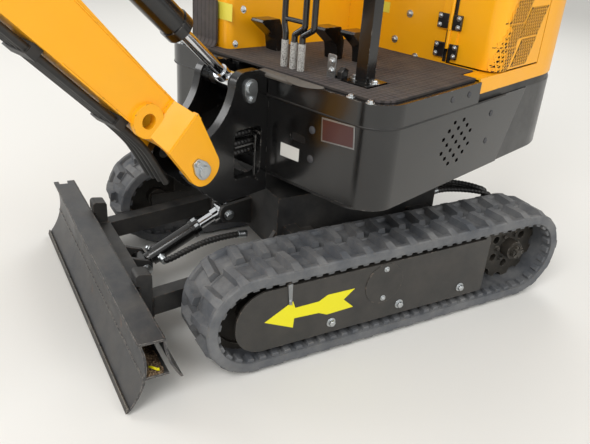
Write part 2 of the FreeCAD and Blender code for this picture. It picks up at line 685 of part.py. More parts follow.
def platform():
    """Turning bed: turntable plate, inner race, webs behind the boom bracket, and cross webs to the skirts."""
    left, right = DECK_LEFT - 52, 52 - DECK_RIGHT
    bed = flat_plate([(right, SKIRT_FRONT + 14, 60), (left, SKIRT_FRONT + 14, 60), (left, SEAM_LOW_Y, 10),
                      (left - 150, TAIL_Y - 90, 120), (right + 150, TAIL_Y - 90, 120), (right, SEAM_LOW_Y, 10)],
                     BED_LOW, BED_LOW + BED_THICK)
    race = rod((0, 0, BODY_TOP + RING_TALL + FACE_GAP), (0, 0, BED_LOW), RACE_R)
    top = BED_LOW + BED_THICK
    under_deck = DECK_TOP - DECK_SHEET
    webs = []
    for x in (-WEB_X, WEB_X - WEB_THICK):
        webs.append(side_plate([(SKIRT_FRONT + 14, top, 0), (560, top, 0), (560, ENGINE_LOW, 0), (110, ENGINE_LOW, 0),
                                (40, under_deck, 0), (SKIRT_FRONT + 14, under_deck, 0)], x, x + WEB_THICK))
    edge = SKIRT_STEP + SKIRT_SHEET
    cross = [box(edge - DECK_RIGHT, DECK_LEFT - edge, y, y + 10, top, 640) for y in (-100.0, 190.0)]
    corner = DECK_CORNER + 14
    front = box(corner - DECK_RIGHT, DECK_LEFT - corner, SKIRT_FRONT + SKIRT_SHEET, SKIRT_FRONT + 15, top - 2, 640)
    return fuse([bed, race, front] + webs + cross)


def boom_bracket():
    """Two thick bracket plates with a concave front, bored for the foot pin, with a shelf and a back plate."""
    fy, fz = FOOT_PIN
    ry, rz = ROD_PIN
    back_y = SKIRT_FRONT + SKIRT_SHEET
    plates = []
    for x in (-WEB_X, WEB_X - WEB_THICK):
        plate = side_plate([(back_y, rz + 20, 0), (ry + 30, rz + 40, 30), (ry - 44, rz + 40, 34),
                            (ry - 60, rz - 80, 160), (fy - 8, fz + 52, 40), (fy - 46, fz - 2, 36),
                            (fy - 8, fz - 48, 30), (fy + 75, 385, 40), (back_y, 385, 0)], x, x + WEB_THICK)
        window = side_plate([(-476, 575, 16), (-384, 575, 16), (-384, 440, 16), (-476, 440, 16)], x - 1,
                            x + WEB_THICK + 1)
        for hole in (FOOT_PIN, ROD_PIN):
            plate = plate.cut(cross_rod(hole, x - 1, x + WEB_THICK + 1, BIG_PIN_R + PIN_GAP))
        plates.append(plate.cut(window))
    inner = WEB_X - WEB_THICK
    shelf = side_plate([(-510, 560, 0), (-388, 596, 0), (-388, 606, 0), (-510, 570, 0)], -inner, inner)
    back = box(-inner, inner, back_y - 12, back_y, 470, 650)
    foot = box(-inner, inner, -470, back_y, 388, 404)
    return fuse(plates + [shelf, back, foot])


def keeper(place, deg, x):
    """Pear-shaped pin keeper on a plate's outer face at x, its bolt lobe pointing at deg."""
    outline = turned([(-21, -21, 20), (14, -21, 12), (40, -10, 9), (40, 10, 9), (14, 21, 12), (-21, 21, 20)], place, deg)
    lobe = turned([(30, 0, 0)], place, deg)[0]
    return [side_plate(outline, x, x + 6), cross_rod(place, x + 6, x + 11, BIG_PIN_R),
            rod((x + 6, lobe[0], lobe[1]), (x + 12, lobe[0], lobe[1]), 7)]


def bracket_pins():
    """Rod pin stubs in the bracket plates with spacers and keepers; the rod's eye runs between them."""
    inner = WEB_X - WEB_THICK
    parts = [cross_rod(ROD_PIN, inner, WEB_X, BIG_PIN_R), cross_rod(ROD_PIN, 27, inner, 21)]
    return Part.makeCompound(both(fuse(parts + keeper(ROD_PIN, -83, WEB_X))))


def foot_pins():
    """Foot pin stubs carried by the boom's cheeks, with keepers outside them."""
    inner = WEB_X - WEB_THICK
    out = CHEEK_IN + CHEEK_THICK
    return Part.makeCompound(both(fuse([cross_rod(FOOT_PIN, inner + 1, out, BIG_PIN_R)] + keeper(FOOT_PIN, 128, out))))


def skirt_ring(edge, inset, depth, z0, z1):
    """A wall that follows the skirt from the bracket to the tail, depth thick, edge from the boom's plane."""
    e, f = edge - SKIRT_STEP - inset, SKIRT_FRONT + inset
    r = DECK_CORNER - 6 - inset
    ring = [(WEB_X + FACE_GAP, f, 0), (e, f, r), (e, SEAM_TOP_Y, 0), (e - depth, SEAM_TOP_Y, 0),
            (e - depth, f + depth, max(r - depth, 8)), (WEB_X + FACE_GAP, f + depth, 0)]
    return flat_plate(ring, z0, z1)


def skirt(edge):
    """Apron sheet on the left side: front, rounded corner and side, with a flange along its top."""
    t = SKIRT_SHEET
    wall = skirt_ring(edge, 0, t, SKIRT_LOW, SKIRT_TOP)
    flange = skirt_ring(edge, t - 1, SKIRT_FLANGE - t + 1, SKIRT_TOP - t, SKIRT_TOP)
    seam = side_plate([(SEAM_LOW_Y, SKIRT_LOW - 1, 0), (SEAM_TOP_Y, SKIRT_TOP + 1, 0), (SEAM_TOP_Y + 20, SKIRT_TOP + 1, 0),
                       (SEAM_TOP_Y + 20, SKIRT_LOW - 1, 0)], 0, 600)
    return fuse([wall, flange]).cut(seam)


def skirt_left():
    """Left apron with the wiring slot in front and the vent of short slots in its side."""
    wall = skirt(DECK_LEFT)
    cuts = [front_plate([(166, 556, 9), (218, 556, 9), (218, 578, 9), (166, 578, 9)], -400, -340)]
    slot_high, slot_long, step_y, step_z = 10.0, 14.0, 22.0, 19.0
    for row in range(-3, 4):
        for column in range(-3, 4):
            if abs(row) + abs(column) > 4 or (row + column) % 2:
                continue
            y, z = -21.0 + column * step_y, 560.0 + row * step_z
            cuts.append(side_plate([(y - slot_long / 2, z - slot_high / 2, 4), (y + slot_long / 2, z - slot_high / 2, 4),
                                    (y + slot_long / 2, z + slot_high / 2, 4),
                                    (y - slot_long / 2, z + slot_high / 2, 4)], 430, 460))
    return wall.cut(Part.makeCompound(cuts))


def deck_plan(inset, z0, z1):
    """The floor tray's plan, drawn in by inset, as a solid."""
    left, right, f = DECK_LEFT - inset, inset - DECK_RIGHT, DECK_FRONT + inset
    return flat_plate([(right, DECK_REAR, 0), (right, f, DECK_CORNER - inset), (left, f, DECK_CORNER - inset),
                       (left, DECK_REAR, 0)], z0, z1)


def deck():
    """Floor tray of the platform: plate, turned down rim and its return flange on the skirts."""
    low = DECK_TOP - DECK_RIM
    t = DECK_SHEET
    tray = deck_plan(0, low, DECK_TOP)
    tray = tray.cut(deck_plan(t, low + t, DECK_TOP - t)).cut(deck_plan(DECK_SHEET + SKIRT_FLANGE, low - 1, low + t + 1))
    back = box(60 - DECK_RIGHT, DECK_LEFT - 60, DECK_REAR, WALL_Y - FACE_GAP, DECK_TOP - t, DECK_TOP)
    side = WEB_X + 2
    slot = box(-side, side, DECK_FRONT - 2, SKIRT_FRONT + 18, low - 2, DECK_TOP + 2)
    under = box(-side, side, SKIRT_FRONT, SKIRT_FRONT + 60, low - 2, DECK_TOP - t)
    holes = [cross_rod((y, 687), x - 10, x + 10, 7) for y in (-87, -7) for x in (-DECK_RIGHT, DECK_LEFT)]
    return fuse([tray, back]).cut(Part.makeCompound([slot, under] + holes))


def floor_mat():
    """Rubber floor mat, cut round the posts' feet and the console, its far corner curled up before the console."""
    low, high = DECK_TOP + FACE_GAP, DECK_TOP + 6
    left, right = DECK_LEFT - 18, 18 - DECK_RIGHT
    mat = flat_plate([(right + 49, WALL_Y - 2, 5), (right + 49, DECK_REAR, 5), (right, DECK_REAR, 5), (right, -352, 60),
                      (left, -352, 60), (left, DECK_REAR, 5), (left - 49, DECK_REAR, 5), (left - 49, WALL_Y - 2, 5)],
                     low, high)
    cuts = [box(x - 46, x + 46, y - 46, y + 46, low - 1, low + 20) for x, y, z in post_places() if z == DECK_TOP]
    cuts.append(console_plan(-4, low - 1, high + 1))
    curl_y = CONSOLE_PLAN[0][1] - 9
    curl = side_plate([(curl_y - 34, low, 0), (curl_y, low, 26), (curl_y, DECK_TOP + 132, 0),
                       (curl_y - 6, DECK_TOP + 132, 0), (curl_y - 6, high, 20), (curl_y - 34, high, 0)],
                      CONSOLE_PLAN[0][0] + 6, CONSOLE_PLAN[1][0] - 34)
    return fuse([mat.cut(Part.makeCompound(cuts)), curl])


def console_plan(inset, z0, z1):
    """The side console's plan between two heights, drawn in by inset."""
    x0, x1 = CONSOLE_PLAN[0][0] + inset, CONSOLE_PLAN[1][0] - inset
    y0, y1 = CONSOLE_PLAN[0][1] + inset, CONSOLE_PLAN[2][1] - inset
    return flat_plate([(x0, y0, CONSOLE_PLAN[0][2] - inset), (x1, y0, CONSOLE_PLAN[1][2] - inset),
                       (CONSOLE_PLAN[2][0] - inset, y1, 0), (x0, y1, 0)], z0, z1)


def side_console():
    """Sheet console to the right of the footwell, its top sloping down to a rounded front."""
    front, rear = CONSOLE_TOP
    low = DECK_TOP + FACE_GAP

    def under_top(drop):
        y0, y1 = CONSOLE_PLAN[0][1], CONSOLE_PLAN[2][1]
        return side_plate([(y0 - 5, low - 10, 0), (y1 + 5, low - 10, 0), (y1 + 5, rear - drop, 0),
                           (y0 + 120, rear - drop, 90), (y0 - 5, front - drop, 70 - drop)], -500, 500)

    outer = console_plan(0, low, rear + 10).common(under_top(0))
    inner = console_plan(CONSOLE_SHEET, low - 1, rear + 10).common(under_top(CONSOLE_SHEET))
    return outer.cut(inner)


def left_console():
    """Control pod to the left of the seat, rounded at the front."""
    base = WALL_TOP + FACE_GAP
    top = base + LEFT_CONSOLE_TALL
    return side_plate([(136, base, 30), (136, top, 60), (330, top, 20), (330, base, 0)],
                      SEAT_X + 232, SEAT_X + 316)


def joystick(x, y, z):
    """Joystick: a stepped boot, a stick and a grip that leans forward."""
    boot = Part.makeCone(34, 15, 46, V(x, y, z))
    flange = rod((x, y, z), (x, y, z + 5), 38)
    stick = hose([(x, y, z + 30), (x, y, z + 80), (x, y - 18, z + 130)], 6.5, 60)
    grip = rod((x, y - 16, z + 122), (x, y - 42, z + 212), 17)
    return fuse([flange, boot, stick, grip])


def control_levers():
    """Three floor levers: rod ends over the sleeves, jogged and bent back towards the seat, with a tie bar."""
    y, top = LEVER_Y, DECK_TOP + 8 + SLEEVE_TALL
    end_y, end_z = LEVER_TOP
    solids = []
    for low_x, high_x in LEVERS:
        solids.append(hose([(low_x, y, top), (low_x, y, top + 18), (high_x, y, top + 40), (high_x, y, top + 120),
                            (high_x, end_y, end_z)], LEVER_R, 9))
    tie = rod((LEVERS[0][1], y, top + 52), (LEVERS[1][1], y, top + 52), 6)
    return Part.makeCompound([fuse(solids[:2] + [tie]), solids[2]])


def lever_grips():
    """Rubber grips on the ends of the floor levers, in line with them."""
    y, top = LEVER_Y, DECK_TOP + 8 + SLEEVE_TALL
    end_y, end_z = LEVER_TOP
    direction = unit((end_y - y, end_z - (top + 120)))
    grips = []
    for _, x in LEVERS:
        start = (end_y + direction[0] * 0.3, end_z + direction[1] * 0.3)
        grips.append(rod((x, start[0], start[1]), (x, start[0] + direction[0] * 105, start[1] + direction[1] * 105), 14))
    return grips


def lever_sleeves():
    """Upright sleeves round the lever rods at the deck's front edge."""
    low = DECK_TOP + 6 + FACE_GAP
    sleeves = []
    for x, _ in LEVERS:
        sleeves.append(rod((x, LEVER_Y, low), (x, LEVER_Y, DECK_TOP + 8 + SLEEVE_TALL), SLEEVE_R))
    return Part.makeCompound(sleeves)


def foot_pedals():
    """Three foot pedals: an upright with a pad that overhangs forward on a sloped gusset."""
    low = DECK_TOP + 6 + FACE_GAP
    pedals = []
    for x, y in PEDALS:
        pedals.append(side_plate([(y, low, 0), (y + 22, low, 0), (y + 24, low + 48, 20), (y + 6, low + 88, 4),
                                  (y - 58, low + 90, 2), (y - 62, low + 83, 2), (y - 6, low + 40, 16)],
                                 x, x + PEDAL_WIDE))
    return Part.makeCompound(pedals)


def bracket_hoses():
    """Three hoses that turn round between the bracket's plates behind its windows."""
    back_y = SKIRT_FRONT + SKIRT_SHEET - 12
    turns = []
    for i in range(3):
        z, x = 546.0 - 26 * i, 34.0
        turns.append(hose([(-x, back_y, z), (-x, back_y - 82, z), (x, back_y - 82, z), (x, back_y, z)], 9, 30))
    return Part.makeCompound(turns)


def tail_plan(inset, y0, y1, corner, z0, z1):
    """A plan with rounded rear corners, drawn in from the skirts' line on both sides."""
    left, right = MIDDLE_X + SKIRT_HALF - inset, MIDDLE_X - SKIRT_HALF + inset
    return flat_plate([(right, y0, 0), (left, y0, 0), (left, y1, corner), (right, y1, corner)], z0, z1)


def counterweight():
    """Cast counterweight wrapped round the tail, behind the skirts' sloped seams."""
    low = SKIRT_LOW
    top = SKIRT_TOP
    body = tail_plan(4, 0, TAIL_Y, TAIL_CORNER, low, top)
    hollow = tail_plan(54, -1, TAIL_Y - 100, TAIL_CORNER - 60, low - 1, top + 10)
    front = side_plate([(-10, low - 10, 0), (SEAM_LOW_Y + 3, low - 10, 0), (SEAM_LOW_Y + 3, low, 0),
                        (SEAM_TOP_Y + 3, top, 0), (SEAM_TOP_Y + 3, top + 20, 0), (-10, top + 20, 0)], -600, 600)
    under = side_plate([(TAIL_Y - 90, low - 1, 0), (TAIL_Y + 10, low - 1, 0), (TAIL_Y + 10, low + 70, 0)], -600, 600)
    return body.cut(hollow).cut(front).cut(under)


def hood_section(inset, z0, z1):
    """Plan of the hood as a solid between two heights."""
    left, right = MIDDLE_X + SKIRT_HALF - inset, MIDDLE_X - SKIRT_HALF + inset
    front = WALL_Y + inset
    rear = TAIL_Y - 10 - inset
    r = max(HOOD_CORNER - inset, 5)
    rr = TAIL_CORNER - inset
    return flat_plate([(right, front, r), (left, front, r), (left, rear, rr), (right, rear, rr)], z0, z1)


def hood():
    """Sheet hood over the engine: walls, stepped and sloped top, door opening, and a low band beside the deck."""
    t = HOOD_SHEET
    outer = hood_section(0, HOOD_LOW, HOOD_TOP)
    inner = hood_section(t, HOOD_LOW - 1, HOOD_TOP)

    def under_roof(drop):
        return side_plate([(WALL_Y - 5, 600, 0), (TAIL_Y + 5, 600, 0), (TAIL_Y + 5, 930 - drop, 0),
                           (TAIL_Y - 70, HOOD_TOP - drop, 90), (480, HOOD_TOP - drop, 40),
                           (430, WALL_TOP - drop, 40), (WALL_Y - 5, WALL_TOP - drop, 0)], -500, 500)

    shell = outer.common(under_roof(0)).cut(inner.common(under_roof(t)))
    deck_way = box(-DECK_RIGHT, DECK_LEFT, WALL_Y - 5, WALL_Y + 60, HOOD_LOW - 2, DECK_TOP + FACE_GAP)
    opening = box(DOOR_EDGE_X - GAP, 500, WALL_Y - 5, DOOR_REAR_Y + GAP, HOOD_SILL, WALL_TOP - 30 + GAP)
    shell = shell.cut(deck_way).cut(opening)
    band = []
    for side in (-1, 1):
        x0, x1 = sorted((MIDDLE_X + side * (SKIRT_HALF - t), MIDDLE_X + side * SKIRT_HALF))
        band.append(box(x0, x1, DECK_REAR + 2, WALL_Y + 80, HOOD_LOW, HOOD_SILL))
        x0, x1 = sorted((MIDDLE_X + side * (SKIRT_HALF - 52), MIDDLE_X + side * SKIRT_HALF))
        band.append(box(x0, x1, DECK_REAR + 2, WALL_Y + 70, HOOD_SILL - t, HOOD_SILL))
    x, y = DOOR_HINGE
    pin_low, pin_high = DOOR_HINGE_Z[0], DOOR_HINGE_Z[1] + HINGE_LONG
    knuckle_low, knuckle_high = pin_low + HINGE_LONG + FACE_GAP, DOOR_HINGE_Z[1] - FACE_GAP
    hinge = [rod((x, y, pin_low), (x, y, pin_high), HINGE_PIN_R),
             rod((x, y, knuckle_low), (x, y, knuckle_high), HINGE_R),
             box(x - 30, x, y + 2, WALL_Y + 1, knuckle_low, knuckle_high)]
    return fuse([shell] + band + hinge)


def hood_seal():
    """Rubber strip between the hood and what it sits on."""
    low = SKIRT_TOP + FACE_GAP
    ring = tail_plan(3, DECK_REAR + 4, TAIL_Y - 13, TAIL_CORNER - 3, low, HOOD_LOW)
    inside = tail_plan(25, DECK_REAR, TAIL_Y - 35, TAIL_CORNER - 25, low - 1, HOOD_LOW + 1)
    return ring.cut(inside)


def grille_slots(y, z, half_long, half_tall, rows):
    """Slanted slots of one grille patch, as cutters through the door's side."""
    slots = []
    step = 2 * half_tall / rows
    for row in range(rows):
        for column in (-1, 1):
            v = z - half_tall + (row + 0.5) * step
            u = y + (v - z) * GRILLE_LEAN + column * half_long / 2
            reach = half_long / 2 - 3
            r = GRILLE_SLOT / 2 - 0.01
            slots.append(side_plate([(u - reach, v - GRILLE_SLOT / 2, r), (u + reach, v - GRILLE_SLOT / 2, r),
                                     (u + reach, v + GRILLE_SLOT / 2, r), (u - reach, v + GRILLE_SLOT / 2, r)],
                                    DECK_LEFT - 80, DECK_LEFT + 5))
    return slots


def door_left():
    """Left engine door: an L of front strip, rounded corner and side, with slotted grille patches."""
    outer = hood_section(0, HOOD_SILL + GAP, WALL_TOP - 30)
    inner = hood_section(HOOD_SHEET, HOOD_LOW, WALL_TOP)
    keep = box(DOOR_EDGE_X, 500, WALL_Y - 5, DOOR_REAR_Y, HOOD_SILL + GAP, WALL_TOP - 30)
    panel = outer.cut(inner).common(keep)
    slots = []
    for patch in GRILLES:
        slots += grille_slots(*patch)
    panel = panel.cut(Part.makeCompound(slots))
    x, y = DOOR_HINGE
    knuckles = []
    for z in DOOR_HINGE_Z:
        knuckles.append(rod((x, y, z), (x, y, z + HINGE_LONG), HINGE_R))
        knuckles.append(box(x, DOOR_EDGE_X + 22, y + 2, WALL_Y + 1, z, z + HINGE_LONG))
    return fuse([panel] + knuckles).cut(rod((x, y, 700), (x, y, 1000), HINGE_PIN_R + PIN_GAP))


def seat():
    """Seat frame, cushion and backrest as plain closed forms."""
    base = WALL_TOP + FACE_GAP
    pan = side_plate([(150, base, 0), (404, base, 0), (404, base + 14, 0), (150, base + 14, 0)], SEAT_X - 170, SEAT_X + 170)
    high = HOOD_TOP + FACE_GAP
    stay = side_plate([(486, high, 0), (560, high, 0), (560, high + 8, 0), (518, high + 8, 0), (566, high + 300, 0),
                       (558, high + 300, 0), (506, high + 8, 0), (486, high + 8, 0)], SEAT_X - 60, SEAT_X + 60)
    low = base + 14 + FACE_GAP
    cushion = side_plate([(140, low, 12), (426, low, 12), (436, low + 74, 26), (132, low + 92, 34)],
                         SEAT_X - 215, SEAT_X + 215)
    back = side_plate([(432, high + 8.3, 14), (500, high + 8.3, 14), (563, high + 380, 28), (500, high + 388, 28)],
                      SEAT_X - 205, SEAT_X + 205)
    return Part.makeCompound([pan, stay]), cushion, back


def post_places():
    """Foot of each canopy post: x, y, z of the foot."""
    return [(POST_LEFT_X, POST_FRONT_Y, DECK_TOP), (POST_RIGHT_X, POST_FRONT_Y, DECK_TOP),
            (MIDDLE_X + POST_REAR_X, POST_REAR_Y, HOOD_TOP), (MIDDLE_X - POST_REAR_X, POST_REAR_Y, HOOD_TOP)]


def canopy_frame():
    """Canopy posts with foot plates, top rails and cross rails."""
    h = POST / 2
    pieces = []
    for x, y, z in post_places():
        pieces.append(box(x - h, x + h, y - h, y + h, z, ROOF_Z))
        foot_x = h + 6 if z == DECK_TOP and x < 0 else 40
        pieces.append(box(x - foot_x, x + foot_x, y - 40, y + 40, z, z + 8))
    left, right = MIDDLE_X + POST_REAR_X, MIDDLE_X - POST_REAR_X
    for y in (POST_FRONT_Y, POST_REAR_Y):
        pieces.append(box(min(right, POST_RIGHT_X) - h, left + h, y - h, y + h, ROOF_Z - POST, ROOF_Z))
    for x in (right, POST_LEFT_X):
        pieces.append(box(x - h, x + h, POST_FRONT_Y - h, POST_REAR_Y + h, ROOF_Z - POST, ROOF_Z))
    return fuse(pieces)


def canopy_roof():
    """Moulded roof panel with rounded corners and turned down edges."""
    def plan(inset, z0, z1):
        left, right = MIDDLE_X + 425 - inset, MIDDLE_X - 425 + inset
        return flat_plate([(right, inset - 350, 90 - inset), (left, inset - 350, 90 - inset),
                           (left, 600 - inset, 90 - inset), (right, 600 - inset, 90 - inset)], z0, z1)

    rim = plan(0, ROOF_Z - 14, ROOF_Z + 42).cut(plan(8, ROOF_Z - 15, ROOF_Z + 0.3))
    panel = plan(110, ROOF_Z + 30, ROOF_Z + 43)
    return rim.cut(panel.cut(plan(150, ROOF_Z + 29, ROOF_Z + 44)).cut(plan(0, ROOF_Z + 29, ROOF_Z + 36)))


# Boom, arm and bucket


def boom_box(half, inset):
    """Boom's box outline as a solid, half wide, drawn in the working plane."""
    low, high = BOOM_LOW_W + inset, BOOM_HIGH_W - inset
    tip = BOOM_TIP - FORK_OPEN
    depth = 52 - inset
    corners = [boom_point(120, low), boom_point(BOOM_BEND_U - 60, low - 20), upper_boom_point(150, -80 + inset),
               upper_boom_point(tip, -depth), upper_boom_point(tip, depth), upper_boom_point(60, 78 - inset),
               boom_point(BOOM_BEND_U - 70, high + 16), boom_point(120, high)]
    radii = (0, 150, 150, 0, 0, 120, 120, 0)
    return side_plate([(y, z, r) for (y, z), r in zip(corners, radii)], -half, half)


def boom():
    """Boom: welded box with a bend, forked foot cheeks, cylinder ears and tip fork."""
    shell = boom_box(BOOM_HALF_X, 0).cut(boom_box(BOOM_HALF_X - BOOM_SHEET, BOOM_SHEET))
    pieces = [shell]
    for side in (1, -1):
        x0, x1 = side * CHEEK_IN, side * (CHEEK_IN + CHEEK_THICK)
        corners = [boom_point(-44, -44), boom_point(-44, 44), boom_point(115, 92), boom_point(115, -24)]
        cheek = side_plate([(y, z, r) for (y, z), r in zip(corners, (42, 42, 0, 0))], min(x0, x1), max(x0, x1))
        joggle = joggle_plate(side)
        cheek = cheek.cut(cross_rod(FOOT_PIN, -200, 200, BIG_PIN_R + PIN_GAP))
        ring_middle = boom_point(193, 4)
        boss = cross_rod(ring_middle, side * (BOOM_HALF_X - 2), side * (BOOM_HALF_X + 12), 40)
        pieces += [cheek, joggle, boss]
    x0 = 42
    for place, far in ((BOOM_CYL_PIN, boom_point(BOOM_CYL_U, BOOM_HIGH_W)),):
        ears = [boom_point(BOOM_CYL_U - 110, BOOM_HIGH_W), boom_point(BOOM_CYL_U - 34, BOOM_CYL_W + 34),
                boom_point(BOOM_CYL_U + 34, BOOM_CYL_W + 34), boom_point(BOOM_CYL_U + 90, BOOM_HIGH_W),
                boom_point(BOOM_CYL_U, BOOM_HIGH_W - 6)]
        ear = side_plate([(y, z, r) for (y, z), r in zip(ears, (0, 30, 30, 0, 0))], x0, x0 + 12)
        pieces += both(ear.cut(cross_rod(place, x0 - 1, x0 + 13, PIN_R + PIN_GAP)))
    ears = [upper_boom_point(-40, 66), upper_boom_point(ARM_CYL[0] - 34, ARM_CYL[1] + 30),
            upper_boom_point(ARM_CYL[0] + 34, ARM_CYL[1] + 30), upper_boom_point(ARM_CYL[0] + 110, 66)]
    ear = side_plate([(y, z, r) for (y, z), r in zip(ears, (0, 28, 28, 0))], x0, x0 + 12)
    pieces += both(ear.cut(cross_rod(ARM_CYL_PIN, x0 - 1, x0 + 13, PIN_R + PIN_GAP)))
    fork = [upper_boom_point(BOOM_TIP - 230, -50), upper_boom_point(BOOM_TIP - 230, 50),
            upper_boom_point(BOOM_TIP + 40, 40), upper_boom_point(BOOM_TIP + 40, -40)]
    for x in (ARM_HALF_X + 3,):
        tip = side_plate([(y, z, r) for (y, z), r in zip(fork, (0, 0, 38, 38))], x, x + 15)
        pieces += both(tip.cut(cross_rod(ARM_PIVOT, x - 1, x + 16, PIN_R + PIN_GAP)))
    solid = fuse(pieces)
    middle = boom_point(193, 4)
    return solid.cut(cross_rod(middle, -200, 200, 18))


def joggle_plate(side):
    """The cheek's bent run from the box side out to the fork."""
    sections = []
    for u, low, high, x in ((100, -24, 90, CHEEK_IN), (170, -20, 80, BOOM_HALF_X - BOOM_SHEET)):
        a, b = boom_point(u, low), boom_point(u, high)
        x0, x1 = side * x, side * (x + CHEEK_THICK)
        corners = [V(x0, a[0], a[1]), V(x1, a[0], a[1]), V(x1, b[0], b[1]), V(x0, b[0], b[1])]
        sections.append(Part.makePolygon(corners + [corners[0]]))
    return Part.makeLoft(sections, True, True)


def boom_hoses():
    """Four hoses clipped under the boom, from beside the foot pin to the upper boom."""
    under = BOOM_LOW_W - 16
    route = [boom_point(16, -70), boom_point(150, under), boom_point(BOOM_BEND_U - 56, under - 20),
             upper_boom_point(150, -96), upper_boom_point(430, -80)]
    solids = [hose([(x, y, z) for y, z in route], 8.5, 134) for x in (-36, -12, 12, 36)]
    for u in (230.0, 480.0, 730.0):
        face = BOOM_LOW_W - PIN_GAP - (u - 120) * 20 / (BOOM_BEND_U - 180)
        clip = [boom_point(u - 12, face + 0.36), boom_point(u + 12, face - 0.36), boom_point(u + 12, face - 27),
                boom_point(u - 12, face - 27)]
        solids.append(side_plate([(y, z, 0) for y, z in clip], -50, 50))
    return fuse(solids)


def arm():
    """Arm: tapered box with a raised forked tail for its cylinder and ears for the bucket's cylinder."""
    d = unit(ARM_TAIL)
    n = (-d[1], d[0]) if d[0] > 0 else (d[1], -d[0])

    def tail(out, side):
        return (ARM_TAIL[0] + d[0] * out + n[0] * side, ARM_TAIL[1] + d[1] * out + n[1] * side)

    ends = [tail(TAIL_R, TAIL_R), tail(TAIL_R, -TAIL_R)]
    outline = [(80, -62, 60), (ARM_LONG - LINK_BACK, -40, 60), (ARM_LONG + 34, -30, 28),
               (ARM_LONG + 34, 30, 28), (ARM_LONG - LINK_BACK - 40, 34, 60), (160, 64, 90),
               ends[0] + (TAIL_R - 1,), ends[1] + (TAIL_R - 1,), (-42, -50, 42)]
    solid = side_plate([arm_point(u, w) + (r,) for u, w, r in outline], -ARM_HALF_X, ARM_HALF_X)
    slot = side_plate([arm_point(*p) + (0,) for p in (tail(60, -100), tail(-130, -100), tail(-130, 100), tail(60, 100))],
                      -26, 26)
    solid = solid.cut(slot)
    for hole in (ARM_PIVOT, BUCKET_PIN, ROCKER_PIN, ARM_ROD_PIN):
        solid = solid.cut(cross_rod(hole, -100, 100, PIN_R + PIN_GAP))
    u, w = BUCKET_CYL
    ears = [(u - 70, 50, 0), (u - 30, w + 30, 28), (u + 30, w + 30, 28), (u + 90, 50, 0)]
    ear = side_plate([arm_point(a, b) + (r,) for a, b, r in ears], 31, 43)
    ear = ear.cut(cross_rod(BUCKET_CYL_PIN, 20, 50, PIN_R + PIN_GAP))
    return fuse([solid] + both(ear))


def rocker():
    """Pair of rocker plates outside the arm."""
    a = ARM_HALF_X + 3
    plate = bar_plate(ROCKER_PIN, LINK_TOP, 24, a, a + 12)
    for hole in (ROCKER_PIN, LINK_TOP):
        plate = plate.cut(cross_rod(hole, 0, 100, PIN_R + PIN_GAP))
    return both(plate)


def bar_plate(a, b, half, x0, x1):
    """Flat link with round ends between two pins."""
    d, size = cylinder_line(a, b)
    deg = math.degrees(math.atan2(d[1], d[0]))
    corners = turned([(-half, -half, half - 0.01), (size + half, -half, half - 0.01), (size + half, half, half - 0.01),
                      (-half, half, half - 0.01)], a, deg)
    return side_plate(corners, x0, x1)


def link():
    """Bucket link: two plates joined by a cross block near the bucket."""
    plates = []
    for side in (1, -1):
        x0, x1 = sorted((side * 30, side * ARM_HALF_X))
        plate = bar_plate(LINK_TOP, LINK_PIN, 22, x0, x1)
        plates.append(plate)
    d, size = cylinder_line(LINK_TOP, LINK_PIN)
    near = along(LINK_TOP, d, size - 6)
    far = along(LINK_TOP, d, size - 48)
    block = bar_plate(far, near, 16, -31, 31)
    solid = fuse(plates + [block])
    for hole in (LINK_TOP, LINK_PIN):
        solid = solid.cut(cross_rod(hole, -100, 100, PIN_R + PIN_GAP))
    return solid


def bucket_corners(inset):
    """Bucket's side outline from the lip round the floor and back to the top, drawn in by inset."""
    y, z = BUCKET_PIN
    low = z - BUCKET_DEEP + inset
    mouth = BUCKET_LIP + 2 * inset
    return [(y + mouth, low, 0), (y + 40, low, 120 - inset), (y - 160 + inset, z - BUCKET_DEEP + 46, 150 - inset),
            (y - 190 + inset, z - 150, 100 - inset), (y - 160 + inset, z - 96 - inset, 26),
            (y + 40 + inset, z - 62 - inset, 0)]


def bucket():
    """Bucket: folded shell with side plates, a cutting lip with teeth, and its ears."""
    t = BUCKET_SHEET
    outer = side_plate(bucket_corners(0), -BUCKET_HALF, BUCKET_HALF)
    shell = outer.cut(side_plate(bucket_corners(t), -BUCKET_HALF + t, BUCKET_HALF - t))
    y, z = BUCKET_PIN
    ear = side_plate([(y - 150, z - 100, 0), (LINK_PIN[0] - 26, LINK_PIN[1] + 24, 24), (y + 22, z + 32, 26),
                      (y + 36, z - 68, 0)], EAR_IN, EAR_IN + EAR_THICK)
    for hole in (BUCKET_PIN, LINK_PIN):
        ear = ear.cut(cross_rod(hole, 0, 100, PIN_R + PIN_GAP))
    low = z - BUCKET_DEEP
    teeth = []
    for i in range(TEETH):
        x = -BUCKET_HALF + 26 + i * (2 * BUCKET_HALF - 52) / (TEETH - 1)
        teeth.append(side_plate([(y + BUCKET_LIP - 50, low + t, 0), (y + BUCKET_LIP + 2, low, 0),
                                 (y + BUCKET_LIP + 60, low, 0), (y + BUCKET_LIP + 60, low + 4, 0),
                                 (y + BUCKET_LIP - 10, low + 24, 0), (y + BUCKET_LIP - 50, low + 24, 0)],
                                x - 20, x + 20))
    return fuse([shell] + both(ear) + teeth)


